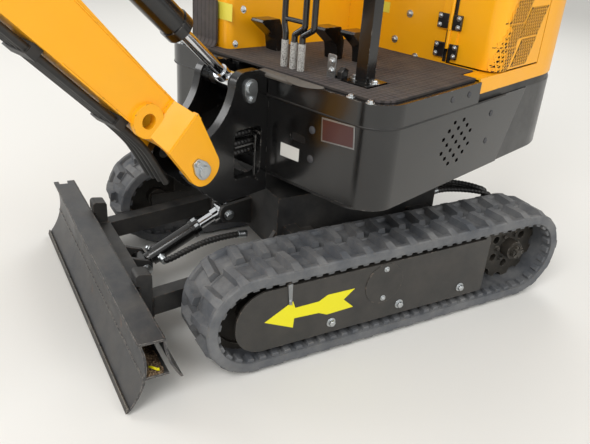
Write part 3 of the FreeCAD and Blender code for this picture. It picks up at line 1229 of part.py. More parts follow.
def work_pins():
    """Pin sets of the working gear, one for each body that carries them."""
    wide = ARM_HALF_X + 3 + 15
    boom_pins = [cross_rod(ARM_PIVOT, -wide - 4, wide + 4, PIN_R), cross_rod(BOOM_CYL_PIN, -58, 58, PIN_R),
                 cross_rod(ARM_CYL_PIN, -58, 58, PIN_R)] + foot_pins().Solids
    arm_pins = both(cross_rod(ARM_ROD_PIN, 26, 50, PIN_R)) + [cross_rod(BUCKET_CYL_PIN, -47, 47, PIN_R),
                                                              cross_rod(ROCKER_PIN, -64, 64, PIN_R)]
    bucket_pins = [cross_rod(BUCKET_PIN, -66, 66, PIN_R), cross_rod(LINK_PIN, -66, 66, PIN_R)]
    rocker_pins = both(cross_rod(LINK_TOP, 30, 64, PIN_R))
    return (Part.makeCompound(boom_pins), Part.makeCompound(arm_pins), Part.makeCompound(bucket_pins),
            Part.makeCompound(rocker_pins))


LOWER = {}
UPPER = {}


def build():
    """Make every piece: the lower ones in place, the upper ones straight ahead."""
    for name, shape in (("track", track()), ("track_frame", track_frame())):
        LOWER[name + "_left"] = shape
        LOWER[name + "_right"] = mirror(shape)
    LOWER["idlers"] = Part.makeCompound(both(idler()))
    LOWER["sprockets"] = Part.makeCompound(both(fuse([sprocket(), castle_nut()])))
    LOWER["rollers"] = Part.makeCompound(rollers().Solids + mirror(rollers()).Solids)
    LOWER["travel_motors"] = Part.makeCompound(both(drive_motor()))
    LOWER["car_body"] = car_body()
    left_hoses = travel_hoses()
    LOWER["travel_hoses"] = Part.makeCompound(left_hoses + [mirror(h) for h in left_hoses])
    LOWER["blade_hose"] = blade_hose()
    LOWER["blade_board"] = blade_board()
    LOWER["blade_frame"] = blade_frame()
    LOWER["blade_cylinder_barrel"] = barrel(BLADE_EYE, BLADE_ROD_PIN, SMALL_CYL, 200.0, 28.0)
    LOWER["blade_cylinder_rod"] = piston_rod(BLADE_EYE, BLADE_ROD_PIN, SMALL_CYL, 200.0, 21.5, 90.0)

    UPPER["platform"] = platform()
    UPPER["boom_bracket"] = boom_bracket()
    UPPER["bracket_pins"] = bracket_pins()
    UPPER["skirt_left"] = skirt_left()
    UPPER["skirt_right"] = mirror(skirt(DECK_RIGHT))
    UPPER["deck"] = deck()
    UPPER["floor_mat"] = floor_mat()
    UPPER["counterweight"] = counterweight()
    UPPER["hood"] = hood()
    UPPER["hood_seal"] = hood_seal()
    UPPER["door_left"] = door_left()
    UPPER["engine"] = box(MIDDLE_X - 170, MIDDLE_X + 170, WALL_Y + 200, TAIL_Y - 130, ENGINE_LOW, HOOD_TOP - 170)
    UPPER["side_console"] = side_console()
    UPPER["left_console"] = left_console()
    joysticks = [joystick(-218.0, 10.0, CONSOLE_TOP[1] + FACE_GAP), joystick(SEAT_X + 274, 200.0, WALL_TOP + LEFT_CONSOLE_TALL + 2 * FACE_GAP)]
    UPPER["hand_grips"] = Part.makeCompound(joysticks + lever_grips())
    UPPER["control_levers"] = control_levers()
    UPPER["lever_sleeves"] = lever_sleeves()
    UPPER["foot_pedals"] = foot_pedals()
    UPPER["bracket_hoses"] = bracket_hoses()
    UPPER["seat_frame"], UPPER["seat_cushion"], UPPER["seat_back"] = seat()
    UPPER["canopy_frame"] = canopy_frame()
    UPPER["canopy_roof"] = canopy_roof()
    UPPER["boom"] = boom()
    UPPER["boom_hoses"] = boom_hoses()
    UPPER["boom_cylinder_barrel"] = barrel(BOOM_CYL_PIN, ROD_PIN, BIG_CYL, 530.0, 38.0)
    UPPER["boom_cylinder_rod"] = piston_rod(BOOM_CYL_PIN, ROD_PIN, BIG_CYL, 530.0, 24.0, 300.0)
    UPPER["arm"] = arm()
    UPPER["arm_cylinder_barrel"] = barrel(ARM_CYL_PIN, ARM_ROD_PIN, BIG_CYL, 480.0, 38.0)
    UPPER["arm_cylinder_rod"] = piston_rod(ARM_CYL_PIN, ARM_ROD_PIN, BIG_CYL, 480.0, 22.0, 165.0)
    UPPER["bucket_cylinder_barrel"] = barrel(BUCKET_CYL_PIN, LINK_TOP, SMALL_CYL, 430.0, 28.0)
    UPPER["bucket_cylinder_rod"] = piston_rod(BUCKET_CYL_PIN, LINK_TOP, SMALL_CYL, 430.0, 26.0, 200.0)
    UPPER["rocker"] = Part.makeCompound(rocker())
    UPPER["link"] = link()
    UPPER["bucket"] = bucket()
    UPPER["boom_pins"], UPPER["arm_pins"], UPPER["bucket_pins"], UPPER["rocker_pins"] = work_pins()


def placed():
    """Every piece in the row's frame: the upper ones slewed, all moved to the origin."""
    shift = V(SLEW_AXIS[0], SLEW_AXIS[1], 0)
    pieces = {}
    for name, shape in LOWER.items():
        pieces[name] = shape.copy()
    for name, shape in UPPER.items():
        pieces[name] = shape.copy()
        pieces[name].rotate(V(0, 0, 0), AXIS_Z, SLEW_DEG)
    for shape in pieces.values():
        shape.translate(shift)
    return pieces


os.makedirs("parts", exist_ok=True)
build()
for node, piece in placed().items():
    piece.exportStep("parts/" + node + ".step")
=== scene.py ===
"""Looks of a one tonne tracked mini excavator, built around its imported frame.

Row frame in metres: +Z up, the undercarriage faces -Y, the machine's left side is +X. Each group of pieces is
drawn in millimetres in its own axes, as in the part's source, and placed in the row frame at the end.
"""
from __future__ import annotations

import json
import logging
import math
import random
from dataclasses import dataclass
from enum import Enum
from typing import Any, Callable, Sequence

import bmesh
import bpy
from mathutils import Matrix, Vector, noise


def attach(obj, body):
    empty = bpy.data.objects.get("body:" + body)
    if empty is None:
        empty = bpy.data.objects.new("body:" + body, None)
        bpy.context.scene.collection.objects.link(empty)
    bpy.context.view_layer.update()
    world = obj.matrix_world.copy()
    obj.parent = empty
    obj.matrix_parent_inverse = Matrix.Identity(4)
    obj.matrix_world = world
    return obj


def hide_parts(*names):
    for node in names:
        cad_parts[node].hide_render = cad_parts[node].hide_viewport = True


LOG = logging.getLogger("excavator")
MM = 0.001
UP = (0, 0, 1)
AHEAD = (0, -1, 0)
Point = tuple[float, float, float]
Pair = tuple[float, float]
Socket = bpy.types.NodeSocket

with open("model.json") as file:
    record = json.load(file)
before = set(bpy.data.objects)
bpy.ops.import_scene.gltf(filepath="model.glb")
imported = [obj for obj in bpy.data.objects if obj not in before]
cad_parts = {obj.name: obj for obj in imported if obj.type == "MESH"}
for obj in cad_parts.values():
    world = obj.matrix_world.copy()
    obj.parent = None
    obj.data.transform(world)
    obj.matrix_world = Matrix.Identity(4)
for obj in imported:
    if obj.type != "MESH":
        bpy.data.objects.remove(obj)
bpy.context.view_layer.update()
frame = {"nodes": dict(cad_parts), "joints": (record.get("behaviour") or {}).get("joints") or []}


def joint(name: str) -> dict[str, Any]:
    """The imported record's joint of that name."""
    return next(j for j in frame["joints"] if j["name"] == name)


class Side(Enum):
    """A side of the machine, as the sign of X."""

    LEFT = 1
    RIGHT = -1

    def name_of(self, what: str) -> str:
        """The plain name of that thing on this side."""
        return f"{what}_{self.name.lower()}"


@dataclass(frozen=True)
class Axes:
    """A group's own axes, placed in the row frame.

    Attributes:
        origin: Where the group's zero lies, in metres.
        turn: Its rotation about +Z, in radians.
    """

    origin: Vector
    turn: float

    def matrix(self) -> Matrix:
        """From the group's millimetres to the row frame's metres."""
        return Matrix.Translation(self.origin) @ Matrix.Rotation(self.turn, 4, "Z") @ Matrix.Scale(MM, 4)


def slew_axes() -> tuple[Axes, Axes]:
    """Axes of the undercarriage and of the slewed upper structure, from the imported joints."""
    slew, lift = joint("slew"), joint("boom_lift")
    origin = Vector((slew["pos_m"][0], slew["pos_m"][1], 0.0))
    turn = math.atan2(-lift["axis"][1], -lift["axis"][0])
    return Axes(origin, 0.0), Axes(origin, turn)


LOWER, UPPER = slew_axes()
LOWER_BODIES = ("undercarriage", "blade", "blade_barrel", "blade_rod")


# Finishes


def linear(hex_colour: str) -> tuple[float, float, float, float]:
    """An sRGB hex colour as linear RGBA.

    Args:
        hex_colour: Six hex digits.

    Returns:
        Red, green, blue and alpha for a shader socket.
    """
    parts = [int(hex_colour[i:i + 2], 16) / 255 for i in (0, 2, 4)]
    red, green, blue = [c / 12.92 if c <= 0.04045 else ((c + 0.055) / 1.055) ** 2.4 for c in parts]
    return (red, green, blue, 1.0)


def add(tree: bpy.types.NodeTree, kind: str, settings: dict[str, Any] | None = None,
        **inputs: Any) -> bpy.types.Node:
    """Add a shader node with its settings, values and links.

    Args:
        tree: The material's node tree.
        kind: Blender's node type.
        settings: The node's own properties.
        **inputs: Socket values or sockets to link, by name with spaces as underscores, or as i0, i1 by place.

    Returns:
        The new node.
    """
    node = tree.nodes.new(kind)
    for key, value in (settings or {}).items():
        setattr(node, key, value)
    for key, value in inputs.items():
        place = int(key[1:]) if key[0] == "i" and key[1:].isdigit() else key.replace("_", " ")
        if isinstance(value, Socket):
            tree.links.new(value, node.inputs[place])
        else:
            node.inputs[place].default_value = value
    return node


COLOURS = {"data_type": "RGBA"}
TIMES = {"operation": "MULTIPLY"}


class Pattern(Enum):
    """What a finish shows beside its own mottled colour."""

    PLAIN = "nothing more"
    # The squares' darker grooves are painted shade
    SQUARES = "raised squares in a close grid, with soil in the grooves"
    FLECKS = "fine flecks of a second colour"
    RUST = "patches of rust and drawn-out pale scrapes"
    WEAVE = "threads over and under"


@dataclass(frozen=True)
class Finish:
    """A surface: what it is made of and how it has worn.

    Attributes:
        name: Plain name of the real finish.
        colour: Its own colour, sRGB hex.
        slot: The record's slot for pieces in this finish that only this file makes; not used.
        rough: Roughness of the clean surface.
        metal: 1 for bare metal, 0 for paint, rubber and plastic.
        grain_mm: Size of the surface's relief.
        relief: Strength of that relief.
        coat: Clear layer over the colour.
        dust_and_sheen: Share of dust on surfaces that face up.
        dust_and_sheen_colour: Colour of that dust.
        chips: Share of the edges worn through.
        chip_colour: What shows where an edge is worn or a face scraped.
        mottle: Lighter and darker variation of the colour.
        mottle_mm: Size of that variation.
        pattern: What it shows beside its colour.
        pattern_mm: Distance between squares or threads, or size of the flecks, drawn coarse enough to show.
        second: Colour of the flecks or the rust.
        share: How much of the surface they cover.
        scrapes: How much the scrapes cover.
    """

    name: str
    colour: str
    slot: str = "black_paint"
    rough: float = 0.5
    metal: float = 0.0
    grain_mm: float = 1.5
    relief: float = 0.1
    coat: float = 0.0
    dust_and_sheen: float = 0.0
    dust_and_sheen_colour: str = "8A7F70"
    chips: float = 0.0
    chip_colour: str = "4A4542"
    mottle: float = 0.08
    mottle_mm: float = 180.0
    pattern: Pattern = Pattern.PLAIN
    pattern_mm: float = 2.6
    second: str = "6B4227"
    share: float = 0.3
    scrapes: float = 0.3

    def wave_scale(self) -> float:
        """Scale at which Blender's waves, tau / 20 of a unit apart at 1, lie one pattern size apart."""
        return math.tau / 20 * 1000 / self.pattern_mm

    def material(self) -> bpy.types.Material:
        """The Blender material, made once."""
        return bpy.data.materials.get(self.name) or Surface(self).lay()


class Surface:
    """A finish's material while its nodes are laid."""

    def __init__(self, finish: Finish) -> None:
        """Start the material with its coordinates."""
        self.finish = finish
        self.made = bpy.data.materials.new(finish.name)
        self.made.use_nodes = True
        self.tree = self.made.node_tree
        self.tree.nodes.clear()
        self.coords = add(self.tree, "ShaderNodeTexCoord")
        self.place = self.coords.outputs["Object"]

    def patches(self, scale: float, cut: Pair, detail: float = 6.0, ragged: float = 0.7, to: Pair = (0.0, 1.0),
                place: Socket | None = None) -> Socket:
        """Ragged patches: a noise cut between two levels.

        Args:
            scale: About how many patches lie in a metre.
            cut: Levels of the noise where a patch starts and where it is full.
            detail: How many finer noises lie over the first.
            ragged: How strong those are.
            to: Values outside and inside a patch.
            place: Coordinates, where they aren't the object's own.

        Returns:
            The patches' strength.
        """
        cloud = add(self.tree, "ShaderNodeTexNoise", Vector=place or self.place, Scale=scale, Detail=detail,
                    Roughness=ragged)
        return add(self.tree, "ShaderNodeMapRange", Value=cloud.outputs["Fac"], From_Min=cut[0], From_Max=cut[1],
                   To_Min=to[0], To_Max=to[1]).outputs["Result"]

    def mottled(self) -> Socket:
        """The finish's own colour, lighter and darker in soft clouds."""
        look = self.finish
        cloud = add(self.tree, "ShaderNodeTexNoise", Vector=self.place, Scale=1000 / look.mottle_mm, Detail=5.0,
                    Roughness=0.6)
        base = linear(look.colour)[:3]
        dark = tuple(c * (1 - look.mottle * 2.2) for c in base) + (1.0,)
        light = tuple(min(1.0, c * (1 + look.mottle)) for c in base) + (1.0,)
        return add(self.tree, "ShaderNodeMix", COLOURS, Factor=cloud.outputs["Fac"], i6=dark, i7=light).outputs[2]

    def squares(self) -> Socket:
        """Height of the squares, from 0 in the grooves to 1."""
        turned = add(self.tree, "ShaderNodeMapping", Vector=self.place, Rotation=(0.0, 0.0, -UPPER.turn))
        rows = []
        for direction in ("X", "Y"):
            wave = add(self.tree, "ShaderNodeTexWave", {"bands_direction": direction},
                       Vector=turned.outputs["Vector"], Scale=self.finish.wave_scale())
            rows.append(add(self.tree, "ShaderNodeMapRange", Value=wave.outputs["Fac"], From_Min=0.04,
                            From_Max=0.22).outputs["Result"])
        return add(self.tree, "ShaderNodeMath", TIMES, i0=rows[0], i1=rows[1]).outputs[0]

    def colour(self) -> Socket:
        """The clean surface's colour with its pattern."""
        look, base, layers = self.finish, self.mottled(), []
        if look.pattern is Pattern.SQUARES:
            # Painted shade in the grooves: the rubber's colour darkened to a third where the squares' bump sinks
            groove_shade = tuple(c * 0.34 for c in linear(look.colour)[:3]) + (1.0,)
            return add(self.tree, "ShaderNodeMix", COLOURS, Factor=self.squares(), i6=groove_shade, i7=base).outputs[2]
        if look.pattern is Pattern.FLECKS:
            level = 0.66 - 0.3 * look.share
            layers.append((self.patches(1000 / look.pattern_mm, (level, level + 0.04), 2.0, 0.5), look.second))
        if look.pattern is Pattern.RUST:
            level = 0.7 - 0.25 * look.share
            layers.append((self.patches(11.0, (level, level + 0.08), 10.0, 0.72, (0.0, 0.85)), look.second))
            drawn = add(self.tree, "ShaderNodeMapping", Vector=self.place, Scale=(14.0, 150.0, 110.0))
            level = 0.74 - 0.22 * look.scrapes
            layers.append((self.patches(1.0, (level, level + 0.06), to=(0.0, 0.6), place=drawn.outputs["Vector"]),
                           look.chip_colour))
        for share, over in layers:
            base = add(self.tree, "ShaderNodeMix", COLOURS, Factor=share, i6=base, i7=linear(over)).outputs[2]
        return base

    def height(self) -> Socket:
        """The surface's relief."""
        if self.finish.pattern is Pattern.SQUARES:
            return self.squares()
        grain = add(self.tree, "ShaderNodeTexNoise", Vector=self.place, Scale=1000 / self.finish.grain_mm, Detail=3.0,
                    Roughness=0.55).outputs["Fac"]
        if self.finish.pattern is not Pattern.WEAVE:
            return grain
        warp, weft = [add(self.tree, "ShaderNodeTexWave", {"bands_direction": direction}, Vector=self.place,
                          Scale=self.finish.wave_scale()).outputs["Fac"] for direction in ("X", "DIAGONAL")]
        cloth = add(self.tree, "ShaderNodeMath", TIMES, i0=warp, i1=weft)
        return add(self.tree, "ShaderNodeMath", {"operation": "ADD"}, i0=cloth.outputs[0], i1=grain).outputs[0]

    def worn_edges(self) -> Socket:
        """Where edges are worn through, from 0 to 1."""
        soft = add(self.tree, "ShaderNodeBevel", {"samples": 4}, Radius=0.004)
        flat = add(self.tree, "ShaderNodeNewGeometry")
        facing = add(self.tree, "ShaderNodeVectorMath", {"operation": "DOT_PRODUCT"}, i0=soft.outputs["Normal"],
                     i1=flat.outputs["Normal"])
        edge = add(self.tree, "ShaderNodeMapRange", Value=facing.outputs["Value"], From_Min=0.985, From_Max=0.9)
        level = 0.62 - 0.3 * self.finish.chips
        return add(self.tree, "ShaderNodeMath", TIMES, i0=edge.outputs["Result"],
                   i1=self.patches(70.0, (level, level + 0.04))).outputs[0]

    def dust_and_sheen(self) -> Socket:
        """Dust on what faces up, thicker in patches, from 0 to 1; partly painted sheen on the track rubber."""
        up = add(self.tree, "ShaderNodeSeparateXYZ", Vector=self.coords.outputs["Normal"])
        lying = add(self.tree, "ShaderNodeMapRange", Value=up.outputs["Z"], From_Min=-0.6, From_Max=1.0, To_Min=0.35,
                    To_Max=1.0)
        both = add(self.tree, "ShaderNodeMath", TIMES, i0=lying.outputs["Result"],
                   i1=self.patches(9.0, (0.38, 0.68), 9.0, 0.68))
        return add(self.tree, "ShaderNodeMath", TIMES, i0=both.outputs[0], i1=self.finish.dust_and_sheen).outputs[0]

    def lay(self) -> bpy.types.Material:
        """Lay colour, wear, dust with the track's painted sheen, and relief, and link them to the shader."""
        look, tree, colour = self.finish, self.tree, self.colour()
        rough = self.patches(14.0, (0.3, 0.75), 7.0, 0.65, (max(0.02, look.rough * 0.82), min(1.0, look.rough * 1.3)))
        for shown, mask, over, over_rough in ((look.chips, self.worn_edges, look.chip_colour, 0.55),
                                              (look.dust_and_sheen, self.dust_and_sheen, look.dust_and_sheen_colour, 0.9)):
            if shown:
                share = mask()
                colour = add(tree, "ShaderNodeMix", COLOURS, Factor=share, i6=colour, i7=linear(over)).outputs[2]
                rough = add(tree, "ShaderNodeMix", {"data_type": "FLOAT"}, Factor=share, i2=rough,
                            i3=over_rough).outputs[0]
        bump = add(tree, "ShaderNodeBump", Strength=look.relief, Distance=look.grain_mm * MM, Height=self.height())
        rounded = add(tree, "ShaderNodeBevel", {"samples": 4}, Radius=0.0015, Normal=bump.outputs["Normal"])
        shader = add(tree, "ShaderNodeBsdfPrincipled", Base_Color=colour, Roughness=rough, Metallic=look.metal,
                     Coat_Weight=look.coat, Coat_Roughness=0.12, Normal=rounded.outputs["Normal"])
        add(tree, "ShaderNodeOutputMaterial", Surface=shader.outputs[0])
        return self.made


# Sprayed machine enamel: thick and even, a slight orange peel, softly glossy
YELLOW = Finish("machine yellow enamel", "FFB004", "yellow_paint", rough=0.36, grain_mm=2.2, relief=0.05, coat=0.1,
                dust_and_sheen=0.06, dust_and_sheen_colour="A08B66", chips=0.12, chip_colour="7A6238", mottle=0.04)
# Gloss black enamel on sheet steel: dark, reflects softly, shows dust
GLOSS_BLACK = Finish("gloss black enamel", "070708", rough=0.2, grain_mm=2.5, relief=0.03, coat=0.35, dust_and_sheen=0.05,
                     dust_and_sheen_colour="6E6A63", chips=0.2, chip_colour="77736D", mottle=0.12)
# Satin black enamel on the tail: duller reflections
SATIN_BLACK = Finish("satin black enamel", "0F0F11", rough=0.34, grain_mm=2.5, relief=0.05, coat=0.2, dust_and_sheen=0.1,
                     dust_and_sheen_colour="6C6862", chips=0.2, chip_colour="7C7872", mottle=0.1)
# Chassis enamel: black, dulled by soil
CHASSIS = Finish("dusty chassis enamel", "1B1B1C", grain_mm=2.0, relief=0.12, dust_and_sheen=0.3, dust_and_sheen_colour="6F6A62",
                 chips=0.35, chip_colour="5E4C3E", mottle=0.14)
# Track cover enamel: satin and dark, brownish from fine dust
COVER = Finish("track cover enamel", "242321", rough=0.42, grain_mm=2.2, relief=0.06, coat=0.15, dust_and_sheen=0.28,
               dust_and_sheen_colour="6A625A", chips=0.25, chip_colour="6E6258", mottle=0.12)
# Enamel on a board that pushes soil: scraped to grey streaks, rust in patches
BLADE_PAINT = Finish("scraped blade enamel", "2E2F32", rough=0.36, grain_mm=2.0, dust_and_sheen=0.3, dust_and_sheen_colour="7E786F",
                     chips=0.5, chip_colour="86807A", mottle=0.12, pattern=Pattern.RUST, scrapes=0.25)
# Hard chrome: a mirror with the finest grinding marks
CHROME = Finish("hard chrome rod", "D9DBDE", rough=0.09, metal=1.0, grain_mm=0.6, relief=0.01, mottle=0.03)
# Bright zinc plate on pins, bolts and fittings: pale, lightly spangled metal
ZINC = Finish("zinc plated steel", "C4C8CA", "zinc", rough=0.3, metal=1.0, grain_mm=0.8, relief=0.06, dust_and_sheen=0.06,
              mottle=0.1, mottle_mm=9.0)
# Moulded track rubber: dull, grey with dried dust; the light dust on its upward faces
# also stands in as painted sky sheen on the lit tops
TRACK_RUBBER = Finish("track rubber with dust and painted sheen", "54575C", "track_rubber", rough=0.66, grain_mm=1.4, relief=0.35, dust_and_sheen=0.5,
                      dust_and_sheen_colour="A09E9A", chips=0.3, chip_colour="5B5751", mottle=0.2)
# Sand-cast steel: a coarse skin, bare on its edges
CAST = Finish("cast steel wheel", "24231F", "cast_steel", rough=0.6, grain_mm=1.8, relief=0.35, dust_and_sheen=0.45,
              dust_and_sheen_colour="6A5F52", chips=0.4, chip_colour="77736C", mottle=0.2)
# Moulded floor mat: matt squares, with painted shade in the grooves
MAT_RUBBER = Finish("squared mat rubber", "474142", "mat_rubber", rough=0.8, grain_mm=2.2, relief=0.5, dust_and_sheen=0.3,
                    dust_and_sheen_colour="7D7160", mottle=0.1, pattern=Pattern.SQUARES, pattern_mm=17.0)
# The mat's smooth underside and its lips: a faint shine
LIP_RUBBER = Finish("smooth mat rubber", "55514C", "mat_rubber", rough=0.62, relief=0.15, dust_and_sheen=0.3,
                    dust_and_sheen_colour="8A8072", mottle=0.12)
# Extruded seal rubber: black and even
SEAL = Finish("black seal rubber", "0D0D0E", "seal_rubber", rough=0.42, grain_mm=0.8, dust_and_sheen=0.1, mottle=0.1)
# Hose rubber: black, with a soft shine along the bends
HOSE = Finish("black hose rubber", "121213", "hose_rubber", rough=0.46, grain_mm=1.0, relief=0.12, dust_and_sheen=0.12,
              mottle=0.12)
# Moulded black plastic: a fine leather grain
PLASTIC = Finish("moulded black plastic", "17171A", grain_mm=0.9, relief=0.3, dust_and_sheen=0.1)
# Foam sleeve on the levers: grey, speckled, without shine
SLEEVE = Finish("speckled grey sleeve", "B9B8B4", rough=0.55, grain_mm=1.0, dust_and_sheen=0.15, pattern=Pattern.FLECKS,
                pattern_mm=2.2, second="55524E", share=0.45)
# Coated seat cloth: black, a fine grain over a visible weave
VINYL = Finish("black seat vinyl", "161618", "seat_vinyl", grain_mm=1.4, relief=0.3, dust_and_sheen=0.08, mottle=0.1,
               pattern=Pattern.WEAVE)
# Moulded roof plastic: smoother and shinier than the grips
ROOF = Finish("moulded roof plastic", "141416", rough=0.38, grain_mm=1.2, relief=0.2, dust_and_sheen=0.14, mottle=0.1)
# Enamel on steel that digs: worn through to pale metal, rust in patches
BUCKET_STEEL = Finish("worn bucket enamel", "18181A", rough=0.42, grain_mm=2.0, relief=0.2, dust_and_sheen=0.25,
                      dust_and_sheen_colour="7B6A55", chips=0.8, chip_colour="9A948A", mottle=0.15, pattern=Pattern.RUST,
                      share=0.25, scrapes=0.6)
# Engine enamel: grey, seen only through gaps
ENGINE = Finish("engine grey enamel", "2C2E2F", grain_mm=2.0, relief=0.2, dust_and_sheen=0.2, mottle=0.1)
# Printed film on the track cover: flat and bright
ARROW_PAINT = Finish("bright yellow film", "EAE008", "yellow_paint", rough=0.42, grain_mm=3.0, relief=0.02, dust_and_sheen=0.08,
                     dust_and_sheen_colour="A79F60", mottle=0.03)
# Enamelled plate: dark red under a clear coat
MAROON = Finish("maroon plate enamel", "3F1718", "grey_paint", rough=0.32, grain_mm=2.0, relief=0.02, coat=0.3,
                mottle=0.06)
# Pale film on small plates: even, a low shine
PALE_YELLOW = Finish("pale yellow plate", "E8DB4E", "yellow_paint", rough=0.4, grain_mm=2.0, relief=0.02, mottle=0.04)
# White plastic label: off-white and dull
WHITE_LABEL = Finish("white plastic label", "DDDDD8", "grey_paint", grain_mm=2.0, relief=0.02, dust_and_sheen=0.1, mottle=0.04)
# Rubber plugs in the sheet's holes: grey and dull
GREY_PLUG = Finish("grey rubber plug", "3C3D41", "grey_paint", rough=0.6, grain_mm=1.0, dust_and_sheen=0.1, mottle=0.1)
# Bare rolled strip: grey metal with a blurred shine
BARE_STRIP = Finish("bare steel strip", "9DA0A2", "zinc", rough=0.38, metal=1.0, grain_mm=1.0, relief=0.08,
                    mottle=0.12, mottle_mm=12.0)
# Extruded wire sheaths: smooth and slightly shiny
RED_WIRE = Finish("red wire sheath", "7E2318", "hose_rubber", rough=0.45, grain_mm=1.0, relief=0.02, mottle=0.05)
BROWN_WIRE = Finish("brown wire sheath", "5B3A22", "hose_rubber", rough=0.45, grain_mm=1.0, relief=0.02, mottle=0.05)
# Dry earth: crumbly, without any shine
EARTH = Finish("dry earth", "5A4430", rough=0.95, grain_mm=3.0, relief=0.8, mottle=0.25, mottle_mm=20.0,
               pattern=Pattern.FLECKS, pattern_mm=5.0, second="8A7458", share=0.5)
# Unlit inside of the hood behind the mesh: no light comes back
DARK_HOLE = Finish("dark opening", "060606", rough=0.9, grain_mm=1.0, relief=0.02, mottle=0.05)

# What each solid is finished with
DRESS: tuple[tuple[Finish, str], ...] = (
    (YELLOW, "hood door_left boom arm side_console"),
    (GLOSS_BLACK, "skirt_right skirt_left deck boom_bracket canopy_frame seat_frame control_levers foot_pedals "
                  "boom_cylinder_barrel arm_cylinder_barrel bucket_cylinder_barrel blade_cylinder_barrel"),
    (SATIN_BLACK, "counterweight platform"),
    (CHASSIS, "car_body blade_frame"),
    (COVER, "track_frame_left track_frame_right"),
    (BLADE_PAINT, "blade_board"),
    (CHROME, "boom_cylinder_rod arm_cylinder_rod bucket_cylinder_rod blade_cylinder_rod"),
    (ZINC, "bracket_pins boom_pins arm_pins bucket_pins rocker_pins"),
    (TRACK_RUBBER, "track_left track_right"),
    (CAST, "idlers sprockets rollers travel_motors"),
    (MAT_RUBBER, "floor_mat"),
    (SEAL, "hood_seal"),
    (HOSE, "travel_hoses blade_hose bracket_hoses boom_hoses"),
    (PLASTIC, "left_console hand_grips"),
    (SLEEVE, "lever_sleeves"),
    (VINYL, "seat_cushion seat_back"),
    (ROOF, "canopy_roof"),
    (BUCKET_STEEL, "bucket link rocker"),
    (ENGINE, "engine"),
)


def dress_frame() -> None:
    """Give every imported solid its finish."""
    for finish, names in DRESS:
        for name in names.split():
            node = frame["nodes"][name]
            if not node.material_slots:
                node.data.materials.append(finish.material())
            for place in node.material_slots:
                place.link = "OBJECT"
                place.material = finish.material()
            LOG.info("dressed %s in %s", name, finish.name)


# Drawing pieces


